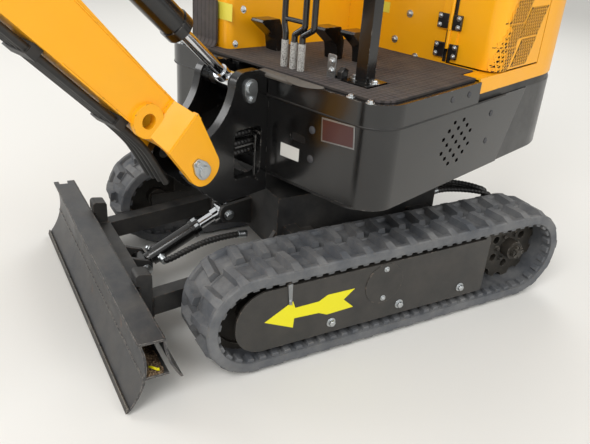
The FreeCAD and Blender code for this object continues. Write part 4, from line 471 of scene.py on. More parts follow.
class Draft:
    """One piece's mesh, drawn in its group's millimetres."""

    def __init__(self) -> None:
        """Start an empty mesh."""
        self.bm = bmesh.new()

    def skin(self, rings: Sequence[Sequence[Any]], loop: bool = False) -> None:
        """Join rings of equally many points.

        Args:
            rings: The rings, in order.
            loop: Whether the last ring joins the first; both are closed off otherwise.
        """
        rows = [[self.bm.verts.new(p) for p in ring] for ring in rings]
        pairs = list(zip(rows, rows[1:])) + ([(rows[-1], rows[0])] if loop else [])
        for low, high in pairs:
            for i, vert in enumerate(low):
                j = (i + 1) % len(low)
                self.bm.faces.new((vert, low[j], high[j], high[i]))
        if not loop:
            self.bm.faces.new(rows[0][::-1])
            self.bm.faces.new(rows[-1])

    def prism(self, outline: Sequence[Point], depth: Point) -> None:
        """A flat outline pushed along depth."""
        self.skin([[Vector(p) for p in outline], [Vector(p) + Vector(depth) for p in outline]])

    def block(self, x: Pair, y: Pair, z: Pair) -> None:
        """A block between two corners."""
        self.prism([(x[0], y[0], z[0]), (x[1], y[0], z[0]), (x[1], y[1], z[0]), (x[0], y[1], z[0])],
                   (0, 0, z[1] - z[0]))

    def lathe(self, place: Point | Vector, axis: Point | Vector, profile: Sequence[Pair], sides: int = 24,
              turn: float = 0.0) -> None:
        """A turned form.

        Args:
            place: Where the profile's zero lies.
            axis: Its axis.
            profile: Rows of distance along the axis and radius.
            sides: Facets round it; 6 makes a hexagon.
            turn: Turn about the axis, in degrees.
        """
        ahead = Vector(axis).normalized()
        u = ahead.orthogonal().normalized()
        v = ahead.cross(u).normalized()
        angles = [math.radians(turn) + math.tau * i / sides for i in range(sides)]
        self.skin([[Vector(place) + ahead * far + (u * math.cos(a) + v * math.sin(a)) * max(radius, 0.02)
                    for a in angles] for far, radius in profile])

    def tube(self, line: Sequence[Any], radius: float, sides: int = 8,
             swell: Callable[[float, float], float] | None = None) -> None:
        """A round bar along a line.

        Args:
            line: Points of its centre line.
            radius: Its radius.
            sides: Facets round it.
            swell: Radius added at a distance along the line and an angle round it.
        """
        path = [Vector(p) for p in line]
        rings, gone, side = [], 0.0, Vector((0, 0, 0))
        for i, place in enumerate(path):
            ahead = (path[min(i + 1, len(path) - 1)] - path[max(i - 1, 0)]).normalized()
            side = ahead.orthogonal().normalized() if i == 0 else (side - ahead * side.dot(ahead)).normalized()
            up = ahead.cross(side)
            gone += (place - path[i - 1]).length if i else 0.0
            ring = []
            for k in range(sides):
                a = math.tau * k / sides
                r = radius + (swell(gone, a) if swell else 0.0)
                ring.append(place + (side * math.cos(a) + up * math.sin(a)) * r)
            rings.append(ring)
        self.skin(rings)

    def bolt(self, place: Point, axis: Point, across: float, tall: float, washer: float, turn: float = 10.0) -> None:
        """A hexagon bolt on its washer.

        Args:
            place: Where the washer sits.
            axis: The way the head points.
            across: Width of the head.
            tall: Height of the head.
            washer: Washer radius over the head's, as a share.
            turn: Turn of the hexagon, in degrees.
        """
        r, thick = across / math.sqrt(3), 1.8
        self.lathe(place, axis, ((-0.5, r * 1.2 * washer), (thick, r * 1.2 * washer)), 20)
        self.lathe(place, axis, ((thick - 0.3, r), (thick + tall * 0.8, r), (thick + tall, r * 0.86)), 6, turn)
        self.lathe(place, axis, ((thick + tall - 1, r * 0.7), (thick + tall + 0.4, r * 0.62)), 18)

    def dome(self, place: Point, axis: Point, radius: float, tall: float, flange: float = 0.0) -> None:
        """A domed head.

        Args:
            place: Where it sits.
            axis: The way it points.
            radius: Its radius.
            tall: Its height.
            flange: Radius of the thin flange under it; 0 for none.
        """
        if flange:
            self.lathe(place, axis, ((-0.5, flange), (1.2, flange), (1.6, flange - 0.6)))
        angles = [math.radians(d) for d in (0, 18, 36, 54, 72, 88)]
        self.lathe(place, axis, [(-0.5, radius)] + [(tall * math.sin(a), radius * math.cos(a)) for a in angles])

    def bead(self, line: Sequence[Any], radius: float, step: float = 2.4) -> None:
        """A rippled weld bead along straight runs.

        Args:
            line: Ends of the runs, in order.
            radius: Radius of the bead.
            step: Distance between its rings.
        """
        path: list[Vector] = []
        for a, b in zip(line, line[1:]):
            start, end = Vector(a), Vector(b)
            count = max(2, int((end - start).length / step))
            path += [start.lerp(end, i / count) for i in range(count)]
        path.append(Vector(line[-1]))
        wave = math.tau / (radius * 1.5)
        self.tube(path, radius, 8, lambda far, _: radius * (0.09 * math.sin(far * wave)
                                                            + 0.16 * noise.noise(Vector((far * 0.07, radius, 0)))))


def piece(name: str, draft: Draft, body: str, finish: Finish, edge: float = 0.0,
          smooth: float = 38.0) -> bpy.types.Object:
    """Turn a draft into a piece that rides on a body.

    Args:
        name: The piece's plain name.
        draft: Its mesh in the millimetres of the body's group.
        body: The CAD body it moves with.
        finish: Its surface.
        edge: Width of its rounded edges in millimetres.
        smooth: Edges sharper than this angle stay sharp.

    Returns:
        The piece.
    """
    bmesh.ops.recalc_face_normals(draft.bm, faces=draft.bm.faces)
    draft.bm.transform((LOWER if body in LOWER_BODIES else UPPER).matrix())
    mesh = bpy.data.meshes.new(name)
    draft.bm.to_mesh(mesh)
    draft.bm.free()
    mesh.materials.append(finish.material())
    mesh.polygons.foreach_set("use_smooth", [True] * len(mesh.polygons))
    mesh.set_sharp_from_angle(angle=math.radians(smooth))
    thing = bpy.data.objects.new(name, mesh)
    bpy.context.scene.collection.objects.link(thing)
    if edge:
        bevel = thing.modifiers.new("edge", "BEVEL")
        bevel.width = edge * MM
        bevel.segments = 2
        bevel.angle_limit = math.radians(40)
    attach(thing, body)
    LOG.info("made %s with %d faces", name, len(mesh.polygons))
    return thing


def fasteners(name: str, body: str, finish: Finish, edge: float, bolts: Sequence[tuple[Any, ...]] = (),
              domes: Sequence[tuple[Any, ...]] = ()) -> None:
    """A piece of bolts and domed heads alone.

    Args:
        name: The piece's plain name.
        body: The CAD body it moves with.
        finish: Its surface.
        edge: Width of its rounded edges in millimetres.
        bolts: What Draft.bolt takes, for each bolt.
        domes: What Draft.dome takes, for each domed head.
    """
    draft = Draft()
    for row in bolts:
        draft.bolt(*row)
    for row in domes:
        draft.dome(*row)
    piece(name, draft, body, finish, edge)


def blank_plate(name: str, finish: Finish, corners: Sequence[Pair], face: float, thick: float,
                edge: float = 0.0) -> None:
    """A flat plate on a face of the house that looks ahead.

    Args:
        name: The piece's plain name.
        finish: Its surface.
        corners: Its corners, as (x, z).
        face: Where its back lies along the machine.
        thick: Its thickness.
        edge: Width of its rounded edges in millimetres.
    """
    draft = Draft()
    draft.prism([(x, face, z) for x, z in corners], (0, -thick, 0))
    piece(name, draft, "house", finish, edge)


def smooth_line(points: Sequence[Point], fine: int = 16) -> list[Vector]:
    """Points along the smooth spline whose control points are given.

    Args:
        points: Control points in the group's millimetres.
        fine: Steps for each control point.

    Returns:
        Points of the spline, in the same millimetres.
    """
    curve = bpy.data.curves.new("route", "CURVE")
    curve.dimensions = "3D"
    curve.resolution_u = fine
    spline = curve.splines.new("NURBS")
    spline.points.add(len(points) - 1)
    for place, at in zip(spline.points, points):
        place.co = (*at, 1.0)
    spline.order_u = 3
    spline.use_endpoint_u = True
    holder = bpy.data.objects.new("route", curve)
    mesh = bpy.data.meshes.new_from_object(holder)
    line = [v.co.copy() for v in mesh.vertices]
    bpy.data.objects.remove(holder)
    bpy.data.meshes.remove(mesh)
    bpy.data.curves.remove(curve)
    return line


def even_line(line: Sequence[Vector], step: float) -> list[Vector]:
    """The same line with points an even step apart.

    Args:
        line: The line.
        step: Distance between the new points.

    Returns:
        The new points, with both ends kept.
    """
    result = [line[0]]
    left = step
    for a, b in zip(line, line[1:]):
        run = (b - a).length
        at = left
        while at <= run:
            result.append(a.lerp(b, at / run))
            at += step
        left = at - run
    if (result[-1] - line[-1]).length > step / 3:
        result.append(line[-1])
    return result


# Pieces of the machine


@dataclass
class Tracks:
    """What the two tracks and their covers carry.

    Attributes:
        out: A track's outer face from the machine's middle.
        wide: A track's width.
        wheelbase: Idler axle to sprocket axle.
        axle_z: Height of both axles.
        root: Radius over the belt between the lugs.
        belt: Thickness of the belt under that radius.
        pitch: Distance between the blocks inside the belt.
        cover_x: Outer face of a cover.
        cover_top: Its top.
        rollers: The rollers' bolts, as (y, z).
        lid: The round lid's middle and the reach of its two bolts.
        hub: Radius of the sprocket's ring of bolts.
        arrow: Outline of the arrow on a cover, as (y, z), tip first.
    """

    out: float = 465.0
    wide: float = 180.0
    wheelbase: float = 920.0
    axle_z: float = 150.0
    root: float = 130.0
    belt: float = 18.0
    pitch: float = 36.0
    cover_x: float = 461.0
    cover_top: float = 246.0
    rollers: tuple[Pair, ...] = ((-243.0, 98.6), (-17.0, 98.6), (209.0, 98.6))
    lid: Point = (-80.0, 182.0, 46.0)
    hub: float = 45.0
    arrow: tuple[Pair, ...] = ((-445, 154), (-366, 198), (-358, 176), (-288, 177), (-262, 191), (-177, 190),
                               (-210, 163), (-176, 131), (-259, 128), (-285, 140), (-359, 144), (-361, 115))

    def ring(self, section: Sequence[Pair], bends: int = 28) -> list[list[Point]]:
        """A section carried round the loop.

        Args:
            section: Its points, as (x, radius).
            bends: Steps round each wheel.

        Returns:
            The section at each station.
        """
        half = self.wheelbase / 2
        stations = [(y, math.radians(start + 180 * k / bends)) for y, start in ((-half, 90), (half, 270))
                    for k in range(bends + 1)]
        return [[(x, y + r * math.cos(a), self.axle_z + r * math.sin(a)) for x, r in section] for y, a in stations]

    def rims(self, side: Side) -> None:
        """Thick rims along the belt's two edges and the low ridge between the rows of lugs."""
        draft = Draft()
        rim = ((-0.8, -17.0), (-0.8, 6.0), (3.0, 10.0), (15.0, 9.0), (21.0, -1.5), (21.0, -17.0))
        ridge = ((-5, -2), (-2.5, 4), (2.5, 4), (5, -2))
        for edge, inward, rows in ((self.out, -1, rim), (self.out - self.wide, 1, rim),
                                   (self.out - self.wide / 2, 1, ridge)):
            draft.skin(self.ring([(side.value * (edge + inward * a), self.root + b) for a, b in rows]), loop=True)
        piece(side.name_of("track_rims"), draft, "undercarriage", TRACK_RUBBER)

    def station(self, far: float, radius: float) -> Pair:
        """A place on the loop.

        Args:
            far: Distance along it, from over the sprocket's axle and ahead along the top.
            radius: Its radius round the wheels.

        Returns:
            The y of the wheel, or of the place on a straight run, and the angle of the way out.
        """
        half, arc, quarter = self.wheelbase / 2, math.pi * radius, math.pi / 2
        if far < self.wheelbase:
            return half - far, quarter
        if far < self.wheelbase + arc:
            return -half, quarter + (far - self.wheelbase) / radius
        if far < 2 * self.wheelbase + arc:
            return far - self.wheelbase - arc - half, 3 * quarter
        return half, 3 * quarter + (far - 2 * self.wheelbase - arc) / radius

    def inner_blocks(self, side: Side) -> None:
        """Rows of small blocks along the belt's inside, near both edges."""
        draft, inside = Draft(), self.root - self.belt
        around = 2 * self.wheelbase + 2 * math.pi * inside
        count = round(around / self.pitch)
        for i in range(count):
            y, a = self.station(i * around / count, inside)
            out, along = Vector((0, math.cos(a), math.sin(a))), Vector((0, -math.sin(a), math.cos(a)))
            for x0, x1 in ((self.out - 30, self.out - 4), (self.out - self.wide + 4, self.out - self.wide + 30)):
                draft.skin([[Vector((side.value * x, y, self.axle_z)) + out * depth + along * b
                             for x, b in ((x0, -reach), (x1, -reach), (x1, reach), (x0, reach))]
                            for depth, reach in ((inside + 2, 12.0), (inside - 9, 8.0))])
        piece(side.name_of("belt_blocks"), draft, "undercarriage", TRACK_RUBBER, 1.2)

    def cover_fittings(self, side: Side) -> None:
        """Roller bolts, lid bolts and the strap over the cover's front top edge."""
        s, x, top = side.value, self.cover_x, self.cover_top + 3
        y, z, reach = self.lid
        fasteners(side.name_of("cover_bolts"), "undercarriage", ZINC, 0.5,
                  [((s * x, along, high), (s, 0, 0), 17.0, 9.0, 1.15, 15) for along, high in self.rollers]
                  + [((s * (x + 2), y, z + up), (s, 0, 0), 10.0, 4.5, 1.2) for up in (-reach, reach)])
        draft = Draft()
        draft.prism([(s * x, -384, top), (s * x, -378, top - 58), (s * x, -369, top - 60), (s * x, -371, top)],
                    (s * 3, 0, 0))
        draft.prism([(s * (x + 3), -384, top), (s * (x - 40), -384, top), (s * (x - 40), -371, top),
                     (s * (x + 3), -371, top)], (0, 0, 3))
        draft.dome((s * (x + 3), -375, top - 48), (s, 0, 0), 4.5, 2.5)
        piece(side.name_of("cover_strap"), draft, "undercarriage", BARE_STRIP, 0.8)

    def arrow_film(self, side: Side) -> None:
        """The yellow arrow on the cover, pointing ahead."""
        s, draft = side.value, Draft()
        draft.prism([(s * (self.cover_x + 0.1), y, z) for y, z in self.arrow], (s * 0.5, 0, 0))
        piece(side.name_of("cover_arrow"), draft, "undercarriage", ARROW_PAINT)

    def wheel_details(self, side: Side) -> None:
        """The sprocket's ring of bolts and the idler's hub cap."""
        s, middle, half = side.value, self.out - self.wide / 2, self.wheelbase / 2
        fasteners(side.name_of("hub_bolts"), "undercarriage", CAST, 0.6,
                  [((s * (middle + 14), half + self.hub * math.cos(a), self.axle_z + self.hub * math.sin(a)),
                    (s, 0, 0), 13, 7, 1.1) for a in (math.tau * i / 6 for i in range(6))],
                  [((s * (middle + 38), -half, self.axle_z), (s, 0, 0), 20, 6, 26)])

    def build(self) -> None:
        """Make both sides."""
        for side in Side:
            for make in (self.rims, self.inner_blocks, self.cover_fittings, self.arrow_film, self.wheel_details):
                make(side)


@dataclass
class Blade:
    """Details of the blade, its arms, its cylinder and the car body in front.

    Attributes:
        half: Half the blade's width.
        arm_x: Middle of an arm.
        arm_half: Half its width.
        eye: Cylinder pin on the blade, (y, z).
        rod_pin: Cylinder pin on the car body, (y, z).
        pivot: Blade pivot, (y, z).
        crumbs: How many crumbs of soil lie at the blade's left end.
    """

    half: float = 479.0
    arm_x: float = 226.0
    arm_half: float = 22.0
    eye: Pair = (-620.0, 115.0)
    rod_pin: Pair = (-362.0, 247.0)
    pivot: Pair = (-300.0, 165.0)
    crumbs: int = 60

    def welds(self) -> None:
        """Weld beads round the arms' uprights and the cross tube."""
        draft, inner = Draft(), self.arm_x - self.arm_half
        for s in (-1, 1):
            for x in (inner, self.arm_x + self.arm_half):
                draft.bead([(s * x, -697, 96), (s * x, -699, 192)], 3.4)
                draft.bead([(s * x, -662, 152), (s * x, -664, 96)], 3.0)
            for z in (124, 160):
                draft.bead([(s * inner, -692, z), (s * inner, -660, z)], 3.0)
            for x in (30, 44):
                draft.bead([(s * x, -659, 100), (s * x, -659, 156)], 3.0)
        for y in (-708, -770):
            draft.bead([(-self.half + 4, y, 195), (self.half - 4, y, 195)], 2.6, 3.0)
        piece("blade_welds", draft, "blade", CHASSIS)

    def edge_strip(self) -> None:
        """Bare worn strip along the cutting edge."""
        draft = Draft()
        rows = ((-808.4, 7.6), (-803.0, 7.6), (-799.4, 22.0), (-804.0, 24.0))
        draft.prism([(-self.half - 0.5, y, z) for y, z in rows], (2 * self.half + 1, 0, 0))
        piece("cutting_edge", draft, "blade", BUCKET_STEEL, 1.0)

    def soil(self) -> None:
        """Soil caught between the board and its rear plate, with a rag of yellow tape in it."""
        draft = Draft()
        rng = random.Random(5)
        for x0, x1, tall in ((330, 476, 16), (-476, -350, 10), (250, 330, 6)):
            rings = []
            for i in range(25):
                x = x0 + (x1 - x0) * i / 24
                swell = math.sin(math.pi * min(1.0, (i + 2) / 27)) * tall
                lump = swell * (0.75 + 0.6 * noise.noise(Vector((x * 0.03, 0, 3))))
                rings.append([(x, -762, 96), (x, -748, 99 + lump), (x, -728 + rng.uniform(-3, 3), 99 + lump * 0.8),
                              (x, -706, 97)])
            draft.skin(rings)
        for _ in range(self.crumbs):
            place = (rng.uniform(300, 474), rng.uniform(-752, -712), 101 + rng.uniform(0, 9))
            draft.lathe(place, (rng.uniform(-1, 1), rng.uniform(-1, 1), 1),
                        ((-3, 0.8), (-1, 3.4), (1.4, 2.6), (3, 0.6)), 6)
        piece("blade_soil", draft, "blade", EARTH, smooth=60)
        draft = Draft()
        line = smooth_line([(452, -742, 106), (462, -736, 112), (468, -728, 107), (466, -720, 104)], 8)
        draft.skin([[p + Vector(way) for way in ((0, 0, 4), (1, 0, 4), (2, 1, -4), (0, 0, -4))] for p in line])
        piece("tape_rag", draft, "blade", ARROW_PAINT)

    def cylinder(self) -> None:
        """Pin heads, a grease point, the hexagon gland nut and the knob over the rod's eye."""
        (y0, z0), (y1, z1) = self.eye, self.rod_pin
        base = Vector((0.0, y0, z0))
        ahead = Vector((0.0, y1 - y0, z1 - z0)).normalized()
        above = Vector((0.0, -ahead.z, ahead.y))
        draft = Draft()
        draft.lathe(base + ahead * 184, ahead, ((0, 27), (2, 31.5), (15, 31.5), (17, 28)), 6, 15)
        draft.lathe(base + ahead * 199, ahead, ((0, 22), (3, 22), (4.5, 18)), 32)
        draft.lathe(base + ahead * 40 + above * 26, base + above * 1000,
                    ((0, 8), (6, 8), (6.5, 6), (12, 6), (13, 3)), 6)
        piece("blade_gland", draft, "blade_barrel", ZINC, 0.5)
        draft = Draft()
        draft.lathe((0, y1 - 16, z1 + 20), (0, -0.35, 1), ((0, 9), (5, 9), (7, 13), (16, 13.5), (19, 11), (20.5, 6)))
        piece("rod_eye_knob", draft, "blade_rod", SATIN_BLACK, 0.4)
        fasteners("blade_pin_heads", "blade", ZINC, 0.4,
                  domes=[((s * 48, y0, z0), (s, 0, 0), 15, 4, 18) for s in (-1, 1)])
        fasteners("pivot_pin_heads", "undercarriage", ZINC, 0.4,
                  [((s * 44, y1, z1), (s, 0, 0), 19, 8, 1.2) for s in (-1, 1)],
                  [((s * (self.arm_x + way * (self.arm_half + 22)), *self.pivot), (s * way, 0, 0), 16, 3, 19)
                   for s in (-1, 1) for way in (-1, 1)])

    def build(self) -> None:
        """Make every detail."""
        for make in (self.welds, self.edge_strip, self.soil, self.cylinder):
            make()


@dataclass(frozen=True)
class BoomFrame:
    """The boom's own frames: across, along and above.

    Attributes:
        foot: Foot pin, (y, z).
        rise: The lower boom's rise above level, pointing ahead, in degrees.
        bend_u: Distance along the lower boom to the bend.
        bend_w: Height of the upper boom's line there.
        bend: Turn of the upper boom from the lower, in degrees.
    """

    foot: Pair = (-595.0, 505.0)
    rise: float = 46.4
    bend_u: float = 850.0
    bend_w: float = 30.0
    bend: float = 38.0

    def lower(self, x: float, along: float, above: float) -> Point:
        """A point of the lower boom."""
        cos, sin = math.cos(math.radians(self.rise)), math.sin(math.radians(self.rise))
        return (x, self.foot[0] - along * cos + above * sin, self.foot[1] + along * sin + above * cos)

    def upper(self, x: float, along: float, above: float) -> Point:
        """A point of the upper boom."""
        cos, sin = math.cos(math.radians(self.bend)), math.sin(math.radians(self.bend))
        return self.lower(x, self.bend_u + along * cos + above * sin, self.bend_w - along * sin + above * cos)


BOOM = BoomFrame()


@dataclass(frozen=True)
class HoseRun:
    """One hydraulic hose.

    Attributes:
        route: Control points of its smooth line, in the group's millimetres.
        radius: Outer radius.
        guard: Height of the spiral guard wound round it; 0 for a bare hose.
        ends: Whether the first and the last end show a fitting.
        pitch: The guard's pitch.
    """

    route: tuple[Point, ...]
    radius: float
    guard: float = 0.0
    ends: tuple[bool, bool] = (True, True)
    pitch: float = 11.0

    def wound(self, far: float, angle: float) -> float:
        """Height of the guard at a distance along the hose and an angle round it."""
        return self.guard * (1.0 if math.cos(far * math.tau / self.pitch - angle) > -0.35 else 0.15)

    def draw(self, draft: Draft, fittings: Draft) -> None:
        """Draw the hose, and the crimped fitting at each end that shows.

        Args:
            draft: Takes the hose.
            fittings: Takes the fittings.
        """
        line = even_line(smooth_line(self.route), 1.6 if self.guard else 5.0)
        draft.tube(line, self.radius, 14, self.wound if self.guard else None)
        r = self.radius + self.guard
        for shown, place, ahead in zip(self.ends, (line[0], line[-1]), (line[1] - line[0], line[-2] - line[-1])):
            if shown:
                fittings.lathe(place, ahead, ((-4, r - 1.5), (-2, r + 2.6), (7, r + 2.6), (8.4, r + 0.6)), 6)
                fittings.lathe(place, ahead, ((8, r + 1.0), (9, r + 2.0), (12, r + 1.2), (13, r + 2.0), (16, r + 1.2),
                                              (17, r + 2.0), (20, r + 1.2), (26, r + 1.6), (27, r)), 20)


@dataclass
class Hoses:
    """All hydraulic hoses that show.

    Attributes:
        body_rear: The car body's rear face.
        motor_z: Height of the travel motors' ports.
        clips: Middles of the clips along the lower boom.
    """

    body_rear: float = 285.0
    motor_z: float = 222.0
    clips: tuple[float, ...] = (230.0, 480.0, 730.0)

    def hose_set(self, name: str, body: str, runs: Sequence[HoseRun], draft: Draft | None = None) -> None:
        """A set of hoses that stands for its CAD node, with the fittings on their ends.

        Args:
            name: The CAD node.
            body: The CAD body that holds them.
            runs: The hoses.
            draft: What else belongs to the hoses' own piece.
        """
        draft, fittings = draft or Draft(), Draft()
        for run in runs:
            run.draw(draft, fittings)
        hoses = piece(f"{name}_run", draft, body, HOSE, smooth=50)
        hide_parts(name)
        if fittings.bm.faces:
            piece(f"{name}_ends", fittings, body, ZINC, 0.3)
        else:
            fittings.bm.free()

    def travel(self) -> None:
        """Travel motors' hoses, three to a side."""
        rows = ((120, 266, 292, 245, 470), (152, 296, 300, 259, 450), (184, 280, 286, 275, 468))
        self.hose_set("travel_hoses", "undercarriage", [
            HoseRun(((s * x, self.body_rear, z), (s * x, 322, z), (s * (x + 10), 352, z + 4),
                     (s * (x + end_x) / 2, (352 + end_y) / 2, (z + high) / 2 + 4), (s * (end_x - 6), end_y - 16, high),
                     (s * end_x, end_y, high - 16), (s * end_x, end_y, self.motor_z)), 7.5, 1.2)
            for s in (1, -1) for x, z, high, end_x, end_y in rows])

    def blade(self) -> None:
        """Blade cylinder's hose in its spiral guard."""
        route = ((34, -570, 140.5), (56, -569, 141), (63, -554, 146), (62, -500, 165), (62, -440, 183), (62, -350, 188),
                 (62, -314, 182.6))
        self.hose_set("blade_hose", "blade_barrel", [HoseRun(route, 7.6, 2.2)])

    def bracket(self) -> None:
        """Guarded hoses that turn round between the bracket's plates."""
        self.hose_set("bracket_hoses", "house", [
            HoseRun(((-34, -370, z), (-35, -412, z), (-28, -450, z + 2), (28, -450, z - 2), (35, -412, z),
                     (34, -370, z)), 8.0, 1.8, (False, False)) for z in (546.0, 520.0, 494.0)])

    def boom(self) -> None:
        """Hoses under the boom with their clips."""
        low = ((16, -70), (80, -52), (150, -37), (400, -44), (700, -53), (796, -60))
        high = ((150, -96), (230, -91), (430, -80))
        runs = [HoseRun((*(BOOM.lower(x, *at) for at in low), *(BOOM.upper(x, *at) for at in high)), 8.5,
                        ends=(False, True)) for x in (-36, -12, 12, 36)]
        draft = Draft()
        for u in self.clips:
            face = -20.1 - (u - 120) * 20 / (BOOM.bend_u - 180)
            draft.prism([BOOM.lower(-50, u + along, face + above)
                         for along, above in ((-12, 0.4), (12, -0.4), (12, -27), (-12, -27))], (100, 0, 0))
        self.hose_set("boom_hoses", "boom", runs, draft)

    def build(self) -> None:
        """Make every set."""
        for make in (self.travel, self.blade, self.bracket, self.boom):
            make()


@dataclass
class Skirt:
    """Plates, plugs, bolts, wires and beads of the skirts, the slew bracket and the deck's rim.

    Attributes:
        front: The skirts' front face.
        deck_front: The deck's front edge.
        left: The deck's left edge.
        right: Its right edge.
        deck_top: The deck's top.
        seam: Height of the joint between skirt and deck.
        corner: Radius of the deck's corners.
        inset: How far the skirts' sides lie inside the deck's edges.
    """

    front: float = -363.0
    deck_front: float = -369.0
    left: float = 452.0
    right: float = -362.0
    deck_top: float = 711.0
    seam: float = 653.0
    corner: float = 78.0
    inset: float = 6.0

    def plates(self) -> None:
        """The blank label and the bordered blank plate on the front of the left skirt."""
        y = self.front - 0.4
        blank_plate("blank_label", WHITE_LABEL, ((134, 540), (200, 540), (200, 505), (134, 504)), y, 0.5)
        blank_plate("plate_border", BARE_STRIP, ((266, 643), (369, 649), (374, 592), (270, 583)), y, 0.9, 0.2)
        blank_plate("blank_plate", MAROON, ((270, 639), (365, 644.5), (369.5, 595.5), (274, 587)), y - 0.9, 0.4)

    def fixings(self) -> None:
        """Plugs in the skirts and the deck's rim, and bolts on the deck."""
        sides = ((self.left, 1), (self.right, -1))
        fasteners("skirt_plugs", "house", GREY_PLUG, 0.3, domes=(
            [((x, self.front, z), AHEAD, 8.5, 3.0, 10.0) for x, z in ((238, 602), (239, 526))]
            + [((x, y, 687), (way, 0, 0), 6.5, 3.0, 8.0) for x, way in sides for y in (-87, -7)]
            + [((x - way * self.inset, 147, z), (way, 0, 0), 7.0, 2.0, 8.5) for x, way in sides for z in (527, 608)]))
        fasteners("skirt_bolts", "house", ZINC, 0.4,
                  [((x, self.deck_front + 10, self.deck_top), UP, 12, 5, 1.3) for x in (-290, -180, 343, 400)])

    def seam_bead(self) -> None:
        """Rubber bead in the joint between the deck and the skirts."""
        r, z = self.corner, self.seam
        front, left, right = self.deck_front + 1.2, self.left - 1.2, self.right + 1.2
        turns = [math.pi / 2 * k / 12 for k in range(13)]
        draft = Draft()
        draft.tube([(left, 200, z)]
                   + [(left - r + r * math.cos(a), front + r - r * math.sin(a), z) for a in turns]
                   + [(right + r - r * math.sin(a), front + r - r * math.cos(a), z) for a in turns]
                   + [(right, 200, z)], 3.0)
        piece("deck_seam", draft, "house", SEAL, smooth=60)

    def wires(self) -> None:
        """Wires that show in the slot between the left skirt and the bracket."""
        for name, finish, rows in (("red_wire", RED_WIRE, ((166, 578), (188, 571), (216, 575))),
                                   ("brown_wire", BROWN_WIRE, ((164, 566), (190, 562), (214, 556)))):
            route = [(rows[0][0] - 30, -318, rows[0][1] - 14), *((x, -334, z) for x, z in rows),
                     (rows[-1][0] + 26, -312, rows[-1][1] + 4)]
            draft = Draft()
            draft.tube(even_line(smooth_line(route), 4), 2.4)
            piece(name, draft, "house", finish, smooth=60)

    def bracket_welds(self) -> None:
        """Weld beads round the slew bracket's plates."""
        draft = Draft()
        for s in (-1, 1):
            for z in (430, 560):
                draft.bead([(s * 94, -402, z), (s * 60, -400, z + 1), (s * 20, -400, z)], 3.2)
            draft.bead([(s * 79, -404, 440), (s * 79, -404, 552)], 3.2)
        piece("bracket_welds", draft, "house", GLOSS_BLACK)

    def build(self) -> None:
        """Make every detail."""
        for make in (self.plates, self.fixings, self.seam_bead, self.wires, self.bracket_welds):
            make()


@dataclass(frozen=True)
class GrillePatch:
    """One leaning patch of wire mesh, which follows the door's face round its upright corner.

    Attributes:
        y: Its middle along the machine.
        z: Its middle's height.
        long: Half its length.
        tall: Half its height.
        lean: How far it leans back for its height.
        pitch: Distance between wires, drawn coarse enough to show.
        wire: Half a wire's width.
        steep: The wires' run along the machine for their height.
        corner: Middle of the corner's round, (x, y).
        radius: Its radius.
        front: How far ahead a patch may reach.
    """

    y: float
    z: float
    long: float
    tall: float
    lean: float = 0.5
    pitch: float = 13.0
    wire: float = 1.7
    steep: float = 0.75
    corner: Pair = (401.0, 165.0)
    radius: float = 45.0
    front: float = 124.0

    def at(self, t: float, r: float, out: float) -> Point:
        """A point of the patch.

        Args:
            t: From -1 to 1 along it.
            r: From -1 to 1 up it.
            out: Distance out of the door's face.

        Returns:
            The point.
        """
        corner_x, corner_y = self.corner
        far = max(self.front, self.y + self.long * t + self.tall * r * self.lean)
        turn = math.acos(min(1.0, max(0.0, (corner_y - far) / self.radius)))
        place_y = corner_y - (self.radius + out) * math.cos(turn) if far < corner_y else far
        return (corner_x + (self.radius + out) * math.sin(turn), place_y, self.z + self.tall * r)

    def draw(self, dark: Draft, wires: Draft) -> None:
        """Draw its dark ground and two crossing families of wires.

        Args:
            dark: Takes the ground.
            wires: Takes the wires.
        """
        steps = [-1 + k / 8 for k in range(17)]
        for t0, t1 in zip(steps, steps[1:]):
            dark.skin([[self.at(t, r, out) for t, r in ((t0, -1), (t1, -1), (t1, 1), (t0, 1))] for out in (0.2, 0.7)])
        count = int((self.long + self.tall * self.steep) / self.pitch)
        half = self.wire / self.long
        for way in (-1, 1):
            for i in range(-count, count + 1):
                places = [(i * self.pitch + way * r * self.tall * self.steep, r) for r in steps]
                rings = [[self.at(far / self.long + across, r, out)
                          for across, out in ((-half, 0.6), (half, 0.6), (half, 1.4), (-half, 1.4))]
                         for far, r in places if abs(far) <= self.long]
                if len(rings) > 1:
                    wires.skin(rings)


